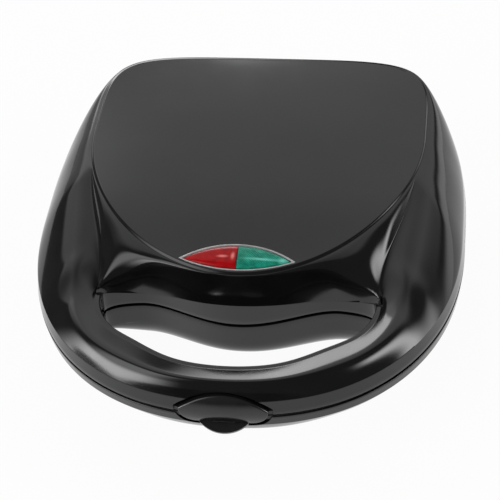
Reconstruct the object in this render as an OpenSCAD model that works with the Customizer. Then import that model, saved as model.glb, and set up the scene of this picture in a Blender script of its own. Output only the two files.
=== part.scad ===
// Countertop corn dog maker with a hinged lid, handle bar and front latch.
// Units are millimetres. X is right, Y is to the rear, Z is up, and the feet stand on Z = 0.

/* [Body outline] */
// Width of the body at its widest line
body_w = 230; // [215:1:260]
// Place of the widest line along Y
widest_y = 1; // [-10:0.5:10]
// Reach of the body in front of the widest line
front_reach = 123.5; // [118:0.5:140]
// Reach of the body behind the widest line
rear_reach = 119.5; // [112:0.5:135]
// Roundness power of the front half (2 is an ellipse)
front_power = 2.26; // [2.1:0.02:2.6]
// Roundness power of the rear half
rear_power = 3.28; // [2.9:0.02:3.8]
// Wall of the moulded shells
wall = 2.4; // [1.8:0.1:3]
// Fit gap between pieces that are put together
fit = 0.1; // [0.05:0.05:0.2]

/* [Heights] */
// Height of the rubber feet
foot_h = 5; // [3:0.5:8]
// Height of the plane where lid and base meet
part_z = 42; // [40:0.5:48]
// Gap between the lid and the base
part_gap = 1; // [0.6:0.1:1.6]
// Height of the upright band round the lid
band_h = 9; // [6:0.5:12]
// Inward lean of that band
band_lean = 1.2; // [0.5:0.1:2]

/* [Lid panel] */
// Width of the raised top panel
panel_w = 181; // [170:1:186]
// Place of the panel's widest line along Y
panel_mid_y = 50; // [40:1:60]
// Reach of the panel in front of that line
panel_front = 103; // [98:0.5:105]
// Distance of the panel's rear edge inside the body's rear
panel_tuck = 7; // [6:0.5:12]
// Height of the panel's edge
panel_z = 77.5; // [75:0.5:84]
// Rise of the panel's crown above its edge
panel_crown = 4; // [2:0.5:6]
// Dip of the panel's edge at its front
panel_dip = 3; // [1:0.5:4]
// Step from the rim up to the panel
panel_step = 1.8; // [1:0.1:2.5]
// Plan width of that step
step_w = 0.8; // [0.5:0.1:1.5]

/* [Handle] */
// Half length of the grip opening
grip_x = 71.5; // [66:0.5:74]
// Place of the opening's two ends along Y
grip_y = -56; // [-60:0.5:-54]
// Depth of the handle bar at its middle
bar_depth = 19; // [18:0.5:24]
// Reach of the opening behind its ends
grip_back = 8.5; // [6:0.5:9]
// Forward bulge of the opening's rear wall
grip_bulge = 13; // [9:0.5:15]
// Half width of that bulge
bulge_x = 53; // [45:0.5:58]
// Height of the top of the handle bar
bar_z = 61; // [59:0.5:66]
// Fall of the bar from its top to the middle of the opening
bar_drop = 1.5; // [1:0.5:3]
// Height of the foot of the cove beside its middle
cove_z = 49; // [47:0.5:52]
// Height of the underside of the base's bar
bar_low_z = 23.5; // [20:0.5:26]

/* [Base] */
// Half width of the flat underside
floor_x = 86; // [80:1:90]
// Place of the middle of the underside along Y
floor_mid_y = 20; // [15:1:25]
// Reach of the underside in front of its middle
floor_front = 54; // [50:1:58]
// Distance of the underside's rear edge inside the body's rear
floor_tuck = 14.5; // [12:0.5:20]
// Thickness of the bottom cover
cover_t = 2.6; // [2:0.1:4]
// Width of the flange that the bottom cover sits under
flange_w = 7; // [5:0.5:9]
// Radius of the feet
foot_r = 8; // [6:0.5:10]
// Half spacing of the feet along X
foot_x = 62; // [50:1:64]
// Place of the front feet along Y
foot_front_y = -16; // [-20:1:0]
// Distance of the rear feet in front of the underside's rear edge
foot_tuck = 20; // [16:1:30]

/* [Plates] */
// Width of a cooking plate
plate_w = 196; // [190:1:198]
// Depth of a cooking plate
plate_d = 114; // [110:1:116]
// Place of the middle of the plates along Y
plate_y = 17; // [16:0.5:18]
// Thickness of a plate
plate_t = 4; // [3.5:0.1:5]
// Number of moulds side by side
moulds = 6; // [4:1:6]
// Spacing of the moulds
mould_pitch = 31.5; // [31:0.5:32]
// Radius of a mould
mould_r = 12.5; // [11:0.5:12.5]
// Length of a mould
mould_len = 94; // [84:1:95]
// Casting wall of a mould
mould_wall = 3; // [2:0.1:3.2]
// Radius of the stick groove
stick_r = 2.5; // [1.5:0.1:3]
// Gap between the two plates
plate_gap = 0.3; // [0.2:0.1:0.6]
// Radius of the tube heaters
heater_r = 3.25; // [2.5:0.25:3.5]
// Spacing of a heater's two legs
heater_span = 48; // [44:1:54]

/* [Hinge and latch] */
// Radius of the hinge barrels
barrel_r = 4.5; // [4:0.1:5]
// Radius of the hinge pins
pin_r = 1.5; // [1.2:0.1:2]
// Half spacing of the two hinges
hinge_x = 52; // [45:1:60]
// Length of a lid hinge barrel
barrel_len = 10; // [8:0.5:12]
// Running clearance of pins in their bores
run = 0.05; // [0.03:0.01:0.08]
// Half width of the latch clip
clip_x = 23.5; // [20:0.5:26]
// Rise of the latch clip above its widest line
clip_up = 9.8; // [9:0.1:10.5]
// Drop of the latch clip below that line
clip_down = 9.2; // [8.5:0.1:9.5]
// Thickness of the latch clip
clip_t = 2.4; // [2:0.1:2.6]
// Half width of the thumb tongue of the clip
tongue_x = 12.6; // [10:0.1:15]
// Radius of the latch pin
latch_pin_r = 1.2; // [1:0.1:1.5]

/* [Indicator] */
// Half length of the indicator window
window_x = 29; // [24:0.5:30]
// Place of the window's tips along Y
window_y = -45.3; // [-46:0.1:-44]
// Rise of the window's rear arc
window_rear = 9.5; // [7:0.5:11]
// Rise of the window's front arc
window_front = 6.5; // [5.5:0.5:6.5]

/* [Hidden] */
$fn = 48;

// Overrun of a cutting tool past the face that it cuts
over = 1;

// Levels of the lid and the base
lid_z = part_z + part_gap / 2;
base_z = part_z - part_gap / 2;
crease_z = lid_z + band_h;
deck_t = 2.5;
ledge_w = 2;
turn_drop = 6.5;
turn_z = base_z - turn_drop;
seat_z = foot_h + cover_t;
front_y = widest_y - front_reach;
rear_y = widest_y + rear_reach;
panel_rear = rear_y - panel_tuck - panel_mid_y;
grip_front = grip_y - front_y - bar_depth;
floor_rear = rear_y - floor_tuck - floor_mid_y;
foot_rear_y = floor_mid_y + floor_rear - foot_tuck;

// Angles, from the front, where the grip opening ends and where the valley beside it runs out:
// the first of each pair is on the body outline and the second on the panel or underside outline
grip_end = [53, 46];
valley_end = [85, 72];
full_turn = [360, 360];
grip_steps = 24;
valley_steps = 6;
side_steps = 40;
outer_rows = 6;
inner_rows = 5;
// Share of the rim that lies outside the valley line
rim_share = 0.8;
// Place of the bar's top across its width
bar_crest = 0.55;
// Bezier handles of the valley line, on the right side
valley_pull = [[67.5, -38], [86.5, -9]];
// Slope of the wing between the panel and the opening
wing_slope = 0.46;
// Share of the valley in which the rim leaves the bar's height
corner_share = 0.4;
// Plan depth of the cove, at most as a share of the wing, and the rounding of its upper edge
cove_run = 7;
cove_share = 0.9;
cove_blend = 4;
// Rise of the cove's foot at its middle, and sharpness of its rise at the ends
cove_rise = 8;
cove_end_power = 3;
cove_rows = [0, 0.2, 0.4, 0.55, 0.75, 1];
// How far each surface of the base's opening bows out: the cove's middle, the cove's ends and the rim
cove_power = 2.5;
corner_power = 1;
rim_power = 1.25;
// Sharpness of the change from the cove's middle to its ends
lip_power = 2;
panel_rows = [0.94, 0.7, 0.4];
panel_core = [0, 30];
panel_front_power = 1.9;
panel_rear_power = 5;
floor_front_power = 3;
floor_rear_power = 4;
crown_y = 40;
// Place along Y where the panel starts to dip
dip_y = 5;
// Share of the step that fades, and the place and length along Y of the fade
step_fade = 0.85;
step_fade_y = 70;
step_fade_run = 40;
// Squareness of the ends of the opening's rear edge
grip_end_power = 6;
// Share by which the opening's front edge is drawn in beside its middle
grip_pinch = 0.08;
// Fall of the bar at the opening's ends, and sharpness of the change to it
end_drop = 4;
end_drop_power = 6;

function spow(v, e) = sign(v) * pow(abs(v), e);
function mix(a, b, k) = a + (b - a) * k;
function ramp(k) = let (c = min(1, max(0, k))) c * c * (3 - 2 * c);
function lift(p, z) = [p[0], p[1], z];

// Closed plan curves made of two superellipse halves, at an angle from the front
function oval(a, half_w, mid_y, front, rear, front_p, rear_p) =
    let (c = sin(a), s = -cos(a), p = s < 0 ? front_p : rear_p, reach = s < 0 ? front : rear)
    [half_w * spow(c, 2 / p), mid_y + reach * spow(s, 2 / p)];
function outline_at(a, inset) =
    oval(a, body_w / 2 - inset, widest_y, front_reach - inset, rear_reach - inset, front_power, rear_power);
function panel_at(a, inset) =
    oval(a, panel_w / 2 - inset, panel_mid_y, panel_front - inset, panel_rear - inset,
        panel_front_power, panel_rear_power);
function floor_at(a, inset) =
    oval(a, floor_x - inset, floor_mid_y, floor_front - inset, floor_rear - inset,
        floor_front_power, floor_rear_power);

// Front and rear edges of the grip opening, u from -1 at its left end to 1 at its right end
function grip_front_at(u, out) =
    [(grip_x + out) * sin(90 * u),
        grip_y - (grip_front + out) * cos(90 * u) * (1 - grip_pinch * pow(sin(180 * u), 6))];
function bulge_at(x) = pow(max(0, 1 - pow(x / bulge_x, 2)), 2);
function grip_back_at(u, out) =
    let (s = sin(90 * u), x = (grip_x + out) * s)
    [x, grip_y + (grip_back + out) * sqrt(max(0, 1 - pow(abs(s), grip_end_power))) - grip_bulge * bulge_at(x)];

// Rays from the outline inwards: [outline angle, inner angle, u along the grip, valley progress]
function even(n) = [for (i = [0 : n - 1]) i / n];
rays = concat(
    [for (k = even(grip_steps)) let (u = 2 * k - 1) [grip_end[0] * u, grip_end[1] * u, u, 0]],
    [for (k = even(valley_steps)) concat(mix(grip_end, valley_end, k), [1, k])],
    [for (k = even(side_steps)) concat(mix(valley_end, full_turn - valley_end, k), [k < 0.5 ? 1 : -1, 1])],
    [for (k = even(valley_steps)) concat(mix(full_turn - valley_end, full_turn - grip_end, k), [-1, 1 - k])]);

// Height of the crowned panel
function panel_top(p) =
    let (
        across = 1 - pow(2 * p[0] / panel_w, 2),
        run_y = p[1] < crown_y ? crown_y - panel_mid_y + panel_front : panel_mid_y + panel_rear - crown_y,
        along = 1 - pow((p[1] - crown_y) / run_y, 2))
    panel_z + panel_crown * max(0, across) * max(0, along)
        - panel_dip * ramp((dip_y - p[1]) / (dip_y - panel_mid_y + panel_front));
// The step fades where the panel runs over the rear edge
function step_at(p) = panel_step * (1 - step_fade * ramp((p[1] - step_fade_y) / step_fade_run));

// Section over the handle bar or the rim: a rise from z0 to the crest, then a fall towards the opening
function bar_section(q, z0, crest, crest_q, drop) =
    q < crest_q ? z0 + (crest - z0) * sin(90 * q / crest_q)
    : crest - drop * (1 - cos(90 * (q - crest_q) / (1 - crest_q)));

// Points of one ray of the base from the outline to the inner edge, through the grip opening where there
// is one. band holds [inset, z] pairs, off is the wall offset, foot and foot_z are the inner edge.
function shell_ray(ray, off, band, foot, foot_z, bar, drop, lip, face_z) =
    let (
        s = ramp(ray[3]),
        last = band[len(band) - 1],
        start = outline_at(ray[0], last[0]),
        rim = mix(start, foot, rim_share),
        crest = mix(bar, foot_z, s),
        crest_q = mix(bar_crest, 1 / rim_share, s),
        fall = drop * (1 - s),
        front = grip_front_at(ray[2], off),
        back = grip_back_at(ray[2], off),
        outer_end = mix(front, rim, s),
        inner_end = mix(back, rim, s),
        end_z = bar_section(1, last[1], crest, crest_q, fall),
        end_share = pow(abs(ray[2]), lip_power),
        lip_z = mix(mix(lip, end_z, end_share), end_z, s),
        power = mix(mix(cove_power, corner_power, end_share), rim_power, s))
    concat(
        [for (b = band) lift(outline_at(ray[0], b[0]), b[1])],
        [for (j = [1 : outer_rows]) let (q = j / outer_rows)
            lift(mix(start, outer_end, q), bar_section(q, last[1], crest, crest_q, fall))],
        [lift(front, face_z), lift(back, face_z)],
        [for (j = [0 : inner_rows]) let (t = j / inner_rows)
            lift(mix(inner_end, foot, pow(t, power)), mix(lip_z, foot_z, t))]);

// Faces between two neighbouring rays, for rows from a to b
function strip(i, k, rows, base, a, b) =
    [for (j = [a : b - 1])
        let (p = base + i * rows + j, q = base + k * rows + j)
        each [[p, p + 1, q + 1], [p, q + 1, q]]];
function flip(faces) = [for (f = faces) [f[2], f[1], f[0]]];
function side(n, rows, base) =
    [for (i = [0 : n - 1]) let (k = (i + 1) % n)
        each concat(
            strip(i, k, rows, base, 0, gate),
            strip(i, k, rows, base, gate + 3, rows - 1),
            i < grip_steps ? strip(i, k, rows, base, gate, gate + 1) : [],
            i < grip_steps ? strip(i, k, rows, base, gate + 2, gate + 3) : [])];
function rim_faces(n, rows, inner_rows, base, row, inner_row, span) =
    [for (i = [0 : span - 1]) let (k = (i + 1) % n,
        a = i * rows + row, b = k * rows + row,
        c = base + k * inner_rows + inner_row, d = base + i * inner_rows + inner_row)
        each [[a, b, c], [a, c, d]]];
function cap_faces(n, rows, base, tip) =
    [for (i = [0 : n - 1]) let (k = (i + 1) % n)
        [base + i * rows + rows - 1, tip, base + k * rows + rows - 1]];

// A thin moulding between an outer and an inner surface, pierced by the grip opening.
// tips holds the outer and inner middle points of a closed moulding, and is empty for an open one.
module moulding(outer, inner, tips, upward) {
    n = len(outer);
    rows = len(outer[0]);
    inside = len(inner[0]);
    base = n * rows;
    tip = base + n * inside;
    faces = concat(
        side(n, rows, 0),
        flip(side(n, inside, base)),
        rim_faces(n, rows, inside, base, 0, 0, n),
        flip(rim_faces(n, rows, inside, base, gate + 1, gate + 1, grip_steps)),
        rim_faces(n, rows, inside, base, gate + 2, gate + 2, grip_steps),
        len(tips) > 0 ? cap_faces(n, rows, 0, tip)
            : flip(rim_faces(n, rows, inside, base, rows - 1, inside - 1, n)),
        len(tips) > 0 ? flip(cap_faces(n, inside, base, tip + 1)) : []);
    polyhedron(
        points = concat([for (r = outer) each r], [for (r = inner) each r], tips),
        faces = upward ? faces : flip(faces),
        convexity = 8);
}

// Line of the valley between the rim and the wing, from the opening's right end to the rim beside the panel
function valley_line(k, first, last) =
    pow(1 - k, 3) * first + 3 * pow(1 - k, 2) * k * valley_pull[0]
    + 3 * (1 - k) * k * k * valley_pull[1] + pow(k, 3) * last;
// The smaller of two heights, with the corner between them rounded
function round_min(a, b, blend) =
    min(a, b) - (blend > 0 ? blend / 4 * pow(max(0, 1 - abs(a - b) / blend), 2) : 0);

// Fall of the bar along the opening
function drop_at(u) = mix(bar_drop, end_drop, pow(abs(u), end_drop_power));

// One ray of the lid: band, bar or rim, opening, cove and wing, step and panel
function lid_ray(ray, off, band) =
    let (
        u = ray[2],
        v = ray[3],
        last = band[len(band) - 1],
        start = outline_at(ray[0], last[0]),
        foot = panel_at(ray[1], off - step_w),
        edge = panel_at(ray[1], off),
        foot_z = panel_top(foot) - step_at(foot) - off,
        side_rim = mix(outline_at(valley_end[0], last[0]), panel_at(valley_end[1], off - step_w), rim_share),
        line = valley_line(v, [grip_x + off, grip_y], side_rim),
        front = grip_front_at(u, off),
        back = grip_back_at(u, off),
        outer_end = v == 0 ? front : v < 1 ? [sign(u) * line[0], line[1]] : mix(start, foot, rim_share),
        inner_end = v == 0 ? back : outer_end,
        reach = norm(foot - inner_end),
        wing_z = foot_z - wing_slope * reach,
        bar_end = bar_z - drop_at(u) - off,
        rim_end = bar_section(1, last[1], foot_z, 1 / rim_share, 0),
        end_z = mix(mix(bar_end, wing_z, ramp(v / corner_share)), rim_end, ramp(2 * v - 1)),
        fall = drop_at(u) * (1 - ramp(2 * v)),
        crest_q = mix(bar_crest, 1 / rim_share, ramp(v)),
        crest = last[1] + (end_z + fall - last[1]) / sin(90 * min(1, 1 / crest_q)),
        cove_low = mix(cove_z + cove_rise * bulge_at(back[0]) - off, bar_end, pow(abs(u), cove_end_power)),
        low = v == 0 ? cove_low : end_z,
        wing_low = v == 0 ? wing_z : end_z,
        run = min(cove_run, cove_share * reach),
        steep = (mix(wing_low, foot_z, run / reach) - low) / run)
    concat(
        [for (b = band) lift(outline_at(ray[0], b[0]), b[1])],
        [for (j = [1 : outer_rows]) let (q = j / outer_rows)
            lift(mix(start, outer_end, q), bar_section(q, last[1], crest, crest_q, fall))],
        [lift(front, lid_z), lift(back, lid_z)],
        [for (t = cove_rows)
            lift(mix(inner_end, foot, t),
                round_min(low + steep * reach * t, mix(wing_low, foot_z, t), 4 * cove_blend * t * (1 - t)))],
        [lift(edge, panel_top(edge) - off)],
        [for (k = panel_rows) let (p = mix(panel_core, edge, k)) lift(p, panel_top(p) - off)]);

// Bands as pairs of inset and height; the lean grows up the band
band_low_share = 0.3;
band_mid_share = 0.5;
lid_outer_band = [[0, lid_z], [band_lean * band_low_share, lid_z + deck_t],
    [band_lean * band_mid_share, lid_z + band_h * band_mid_share], [band_lean, crease_z]];
lid_inner_band = [[wall, lid_z], [wall, lid_z + deck_t], [wall + ledge_w, lid_z + deck_t],
    [wall + band_lean, crease_z]];
gate = len(lid_outer_band) + outer_rows - 1;

// One ray of the base, with the recess for the bottom cover added to the outer surface
bar_low_rise = 1.5;
turn_inset = 0.6;
base_outer_band = [[0, base_z], [turn_inset * band_low_share, base_z - deck_t],
    [turn_inset * band_mid_share, base_z - turn_drop * band_mid_share], [turn_inset, turn_z]];
base_inner_band = [[wall, base_z], [wall, base_z - deck_t], [wall + ledge_w, base_z - deck_t],
    [wall + turn_inset, turn_z]];
function base_outer_ray(ray) =
    concat(
        shell_ray(ray, 0, base_outer_band, floor_at(ray[1], 0), foot_h, bar_low_z, -bar_low_rise,
            bar_low_z + bar_low_rise, base_z),
        [lift(floor_at(ray[1], 0), seat_z), lift(floor_at(ray[1], flange_w), seat_z)]);
function base_inner_ray(ray) =
    shell_ray(ray, wall, base_inner_band, floor_at(ray[1], flange_w), seat_z + wall, bar_low_z + wall,
        -bar_low_rise, bar_low_z + wall + bar_low_rise, base_z);

// Almond shape between two arcs, with its tips at [-x, 0] and [x, 0]
module almond(x, up, down) {
    up_r = (x * x + up * up) / (2 * up);
    down_r = (x * x + down * down) / (2 * down);
    intersection() {
        translate([0, up - up_r]) circle(up_r, $fn = 96);
        translate([0, down_r - down]) circle(down_r, $fn = 96);
    }
}
module window(out) {
    translate([0, window_y]) almond(window_x + 2 * out, window_rear + out, window_front + out);
}
// Rectangle with round corners about its middle
module round_rect(w, d, r) {
    square([w - 2 * r, d], center = true);
    square([w, d - 2 * r], center = true);
    for (x = [-1, 1], y = [-1, 1]) translate([x * (w / 2 - r), y * (d / 2 - r)]) circle(r);
}
module plate_shape(out) {
    translate([0, plate_y]) round_rect(plate_w + 2 * out, plate_d + 2 * out, plate_corner + out);
}
module outline_shape(inset) {
    polygon([for (r = rays) outline_at(r[0], inset)]);
}
module panel_shape(inset) {
    polygon([for (r = rays) panel_at(r[1], inset)]);
}
module floor_shape(inset) {
    polygon([for (r = rays) floor_at(r[1], inset)]);
}
module grip_shape(out) {
    polygon(concat(
        [for (k = [0 : grip_steps]) grip_front_at(2 * k / grip_steps - 1, out)],
        [for (k = [grip_steps - 1 : -1 : 1]) grip_back_at(2 * k / grip_steps - 1, out)]));
}
// Cylinder along X about its middle
module x_rod(r, len) {
    rotate([0, 90, 0]) cylinder(r = r, h = len, center = true);
}

// Places in the upper housing (upward from lid_z) and in the lower one (downward from base_z)
module into_lid() {
    translate([0, 0, lid_z]) children();
}
module into_base() {
    translate([0, 0, base_z]) mirror([0, 0, 1]) children();
}

// Plates and what is fixed to them, in a frame whose zero is the housing's open face
plate_corner = 8;
proud = (part_gap - plate_gap) / 2;
plate_back = plate_t - proud;
shelf_t = 2.5;
shelf_w = 3.5;
shelf_rim = 3;
pad_r = 4.8;
pad_in = [6.5, 6];
plate_screw_r = 1.5;
plate_screw_head = [3, 2];
plate_screw_bite = 2.4;
mould_back = mould_r + mould_wall - proud;
heater_z = mould_back + heater_r + fit;
heater_bend_x = (moulds - 1) / 2 * mould_pitch - heater_span / 4;
heater_end_x = plate_w / 2 - 8;
rib_w = 9;
heater_pin = 14;
reflector_z = heater_z + heater_r + 2.5;
reflector_t = 0.8;
reflector_margin = [13, 8];
reflector_size = [plate_w - 2 * reflector_margin[0], plate_d - 2 * reflector_margin[1]];
reflector_skirt = 4;
reflector_inset = 5;
post_r = 3.5;
post_x = mould_pitch;
post_y = plate_d / 2 - 13.5;
sensor_r = 8.5;
sensor_h = 8;
sensor_gap = 3;

module at_pads() {
    for (x = [-1, 1], y = [-1, 1])
        translate([x * (plate_w / 2 - pad_in[0]), plate_y + y * (plate_d / 2 - pad_in[1]), 0]) children();
}
module at_posts() {
    for (x = [-1, 1], y = [-1, 1]) translate([x * post_x, plate_y + y * post_y, 0]) children();
}
module at_moulds() {
    for (i = [0 : moulds - 1]) translate([(i - (moulds - 1) / 2) * mould_pitch, plate_y, -proud]) children();
}
// Capsule along Y about its middle
module capsule(r, len) {
    rotate([90, 0, 0]) cylinder(r = r, h = len - 2 * r, center = true);
    for (y = [-1, 1]) translate([0, y * (len / 2 - r), 0]) sphere(r);
}

// Deck that closes a housing round its plate and over its handle bar
module frame() {
    difference() {
        union() {
            linear_extrude(deck_t) difference() {
                outline_shape(wall + fit);
                grip_shape(wall + fit);
            }
            linear_extrude(plate_back + shelf_t) plate_shape(fit + shelf_rim);
        }
        translate([0, 0, -over]) linear_extrude(plate_back + over) plate_shape(fit);
        difference() {
            linear_extrude(plate_back + shelf_t + over) plate_shape(-shelf_w);
            at_pads() cylinder(r = pad_r, h = plate_back + shelf_t + over);
        }
        at_pads() cylinder(r = plate_screw_r + run, h = plate_back + shelf_t + over);
    }
}

// Cast cooking plate with its moulds, stick grooves, heater ribs and posts
module plate(sensor) {
    difference() {
        union() {
            translate([0, 0, -proud]) linear_extrude(plate_t) plate_shape(0);
            difference() {
                at_moulds() capsule(mould_r + mould_wall, mould_len + 2 * mould_wall);
                translate([0, plate_y, -proud - plate_w / 2]) cube(plate_w, center = true);
            }
            for (y = [-1, 1]) translate([-heater_end_x, plate_y + y * heater_span / 2 - rib_w / 2, 0])
                cube([heater_end_x + heater_bend_x, rib_w, heater_z]);
            at_posts() cylinder(r = post_r, h = reflector_z);
            if (sensor) translate([0, plate_y, 0]) cylinder(r = sensor_r, h = heater_z);
        }
        at_moulds() capsule(mould_r, mould_len);
        at_moulds() translate([0, -mould_len / 2, 0]) rotate([90, 0, 0])
            cylinder(r = stick_r, h = plate_d, center = true);
        for (y = [-1, 1]) translate([0, plate_y + y * heater_span / 2, heater_z])
            x_rod(heater_r + run, plate_w);
        at_pads() translate([0, 0, plate_back - plate_screw_bite])
            cylinder(r = plate_screw_r + run, h = plate_t);
    }
}

// Tube heater bent to a U, with its terminal pins
module heater() {
    translate([0, plate_y, heater_z]) {
        for (y = [-1, 1]) translate([0, y * heater_span / 2, 0]) {
            translate([(heater_bend_x - heater_end_x) / 2, 0, 0])
                x_rod(heater_r, heater_bend_x + heater_end_x);
            translate([-heater_end_x, 0, 0]) x_rod(heater_r / 2, heater_pin);
        }
        translate([heater_bend_x, 0, 0]) rotate([0, 0, -90])
            rotate_extrude(angle = 180) translate([heater_span / 2, 0]) circle(heater_r);
    }
}

// Sheet reflector behind a heater, cut to the shape given as its child, with a folded rear edge
module reflector(sensor) {
    rear = plate_y + reflector_size[1] / 2;
    difference() {
        union() {
            translate([0, 0, reflector_z]) linear_extrude(reflector_t) intersection() {
                translate([0, plate_y]) square(reflector_size, center = true);
                children();
            }
            translate([-reflector_size[0] / 2, rear - reflector_t, reflector_z - reflector_skirt])
                cube([reflector_size[0], reflector_t, reflector_skirt + reflector_t]);
        }
        if (sensor) translate([0, plate_y, 0])
            cylinder(r = sensor_r + sensor_gap, h = reflector_z + reflector_t + over);
    }
}

module upper_reflector() {
    color("#c4c6c8") into_lid() reflector(false) panel_shape(reflector_inset);
}
module lower_reflector() {
    color("#c4c6c8") into_base() reflector(true) floor_shape(reflector_inset);
}

module plate_screws() {
    at_pads() {
        translate([0, 0, plate_back + shelf_t]) cylinder(r = plate_screw_head[0], h = plate_screw_head[1]);
        translate([0, 0, plate_back - plate_screw_bite + run])
            cylinder(r = plate_screw_r, h = plate_screw_bite + shelf_t);
    }
}

// Hinge: a lid barrel between two base barrels at each side, on an axis behind the rear wall
hinge_y = rear_y + 2;
knuckle_len = 8;
knuckle_gap = 0.3;
hinge_w = barrel_len + 2 * (knuckle_gap + knuckle_len);
arm_t = 3.5;
arm_y = rear_y - 10;
notch_gap = 0.8;
module at_hinges() {
    for (x = [-1, 1]) translate([x * hinge_x, 0, 0]) children();
}
module hinge_arm(len, x, dir) {
    difference() {
        union() {
            translate([x, hinge_y, part_z]) x_rod(barrel_r, len);
            translate([x - len / 2, arm_y, dir > 0 ? lid_z : base_z - arm_t])
                cube([len, hinge_y - arm_y, arm_t]);
        }
        translate([x, hinge_y, part_z]) x_rod(pin_r + run, len + over);
    }
}
module base_knuckles() {
    offset_x = (barrel_len + knuckle_len) / 2 + knuckle_gap;
    at_hinges() for (x = [-1, 1]) hinge_arm(knuckle_len, x * offset_x, -1);
}
module lid_knuckles() {
    at_hinges() hinge_arm(barrel_len, 0, 1);
}
// Gap in a shell's rear wall round one hinge
module hinge_notch() {
    size = 2 * (barrel_r + notch_gap);
    at_hinges() translate([-hinge_w / 2 - notch_gap, arm_y, part_z - size / 2])
        cube([hinge_w + 2 * notch_gap, hinge_y - arm_y + size, size]);
}
module hinge_pin(side) {
    color("#b8b8bc") translate([side * hinge_x, hinge_y, part_z]) x_rod(pin_r, hinge_w);
}

// Latch: a clip that lies in a recess of the bar, turns on a pin in the lid and hooks under the base's deck
knuckle_r = 2.4;
latch_gap = 0.4;
latch_y = front_y + 5.5;
latch_z = lid_z + deck_t + knuckle_r + latch_gap;
clip_z = part_z + 3.3;
// Radius of the clip's outer face in plan and in section, and how far that face stands out of the body
clip_bow = 170;
clip_round = 20;
clip_proud = 0.8;
clip_mid_z = part_z + 1;
clip_corner = 8.5;
ear_t = 3;
ear_r = 2.2;
ear_gap = 0.5;
latch_half = 8;
latch_web = 3.5;
hook_t = 3;
hook_drop = 1.6;
hook_reach = 4;
hook_half = 6;
hook_top = base_z - deck_t - hook_drop;
// Gap round the clip and depth of its recess
recess_gap = 1.6;
recess_deep = 7.5;
latch_room = 1;
// Tongue: how far it stands out, its thickness, slope, root in the clip, and height of its upper edge
tongue_out = 5.76;
tongue_t = 1.8;
tongue_slope = 23;
tongue_root = 1.6;
tongue_z = clip_z - clip_down + 0.6;
module latch_ears() {
    height = latch_z - lid_z;
    difference() {
        for (x = [-1, 1]) translate([x * (latch_half + ear_gap + ear_t / 2), latch_y, latch_z]) {
            x_rod(ear_r, ear_t);
            translate([0, 0, -height / 2]) cube([ear_t, 2 * ear_r, height], center = true);
        }
        translate([0, latch_y, latch_z]) x_rod(latch_pin_r + run, body_w);
    }
}
// Prism along Y over a shape drawn in X and Z, from the front by a depth into the body
module front_slab(deep) {
    translate([0, front_y + deep, 0]) rotate([90, 0, 0]) linear_extrude(deep + clip_bow / 2) children();
}
// Front view of the clip about its widest line: an arc above, and a flat foot with round corners below
module clip_shape(out) {
    arc_r = (clip_x * clip_x + clip_up * clip_up) / (2 * clip_up) + out;
    intersection() {
        translate([0, clip_up + out - arc_r]) circle(arc_r, $fn = 96);
        union() {
            translate([-clip_x - out, 0]) square([2 * (clip_x + out), clip_up + out]);
            round_rect(2 * (clip_x + out), 2 * (clip_down + out), clip_corner + out);
        }
    }
}
module clip_recess() {
    front_slab(recess_deep) translate([0, clip_z]) clip_shape(recess_gap);
}
// Gap in the base's front wall for the clip's hook
module hook_notch() {
    translate([-hook_half - latch_room, front_y - over, hook_top - hook_t - latch_room])
        cube([2 * (hook_half + latch_room), 2 * wall + over, part_z - hook_top + hook_t + latch_room]);
}
// Shell that is round in plan and in section, like the front of the body
module clip_shell() {
    ring_r = clip_bow + clip_proud - clip_round;
    translate([0, front_y + clip_bow, clip_mid_z]) rotate_extrude($fn = 200) translate([ring_r, 0])
        difference() {
            circle(clip_round, $fn = 96);
            circle(clip_round - clip_t, $fn = 96);
        }
}
module tongue() {
    tongue_r = (tongue_x * tongue_x + tongue_out * tongue_out) / (2 * tongue_out);
    translate([0, front_y + clip_proud, tongue_z]) rotate([tongue_slope, 0, 0]) intersection() {
        translate([0, tongue_r - tongue_out, -tongue_t]) cylinder(r = tongue_r, h = tongue_t, $fn = 96);
        translate([-tongue_r, -tongue_r, -2 * tongue_t])
            cube([2 * tongue_r, tongue_r + tongue_root, 4 * tongue_t]);
    }
}
module latch_clip() {
    inside = front_y - clip_proud + clip_t / 2;
    color("#242424") difference() {
        union() {
            intersection() {
                clip_shell();
                front_slab(clip_round) translate([0, clip_z]) clip_shape(0);
            }
            tongue();
            translate([0, latch_y, latch_z]) x_rod(knuckle_r, 2 * latch_half);
            translate([-latch_half, inside, latch_z - knuckle_r])
                cube([2 * latch_half, latch_y - inside, latch_web]);
            translate([-hook_half, inside + clip_t / 2, hook_top - hook_t])
                cube([2 * hook_half, front_y + wall + hook_reach - inside - clip_t / 2, hook_t]);
        }
        translate([0, latch_y, latch_z]) x_rod(latch_pin_r + run, body_w);
    }
}
module latch_pin() {
    color("#b8b8bc") translate([0, latch_y, latch_z]) x_rod(latch_pin_r, 2 * (latch_half + ear_gap + ear_t));
}

module lid_shell() {
    color("#161616") difference() {
        moulding([for (r = rays) lid_ray(r, 0, lid_outer_band)],
            [for (r = rays) lid_ray(r, wall, lid_inner_band)],
            [lift(panel_core, panel_top(panel_core)), lift(panel_core, panel_top(panel_core) - wall)], true);
        translate([0, 0, crease_z]) linear_extrude(panel_z) window(0);
        hinge_notch();
        clip_recess();
    }
}
module upper_frame() {
    color("#2a2a2a") {
        into_lid() frame();
        lid_knuckles();
        latch_ears();
    }
}

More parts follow.
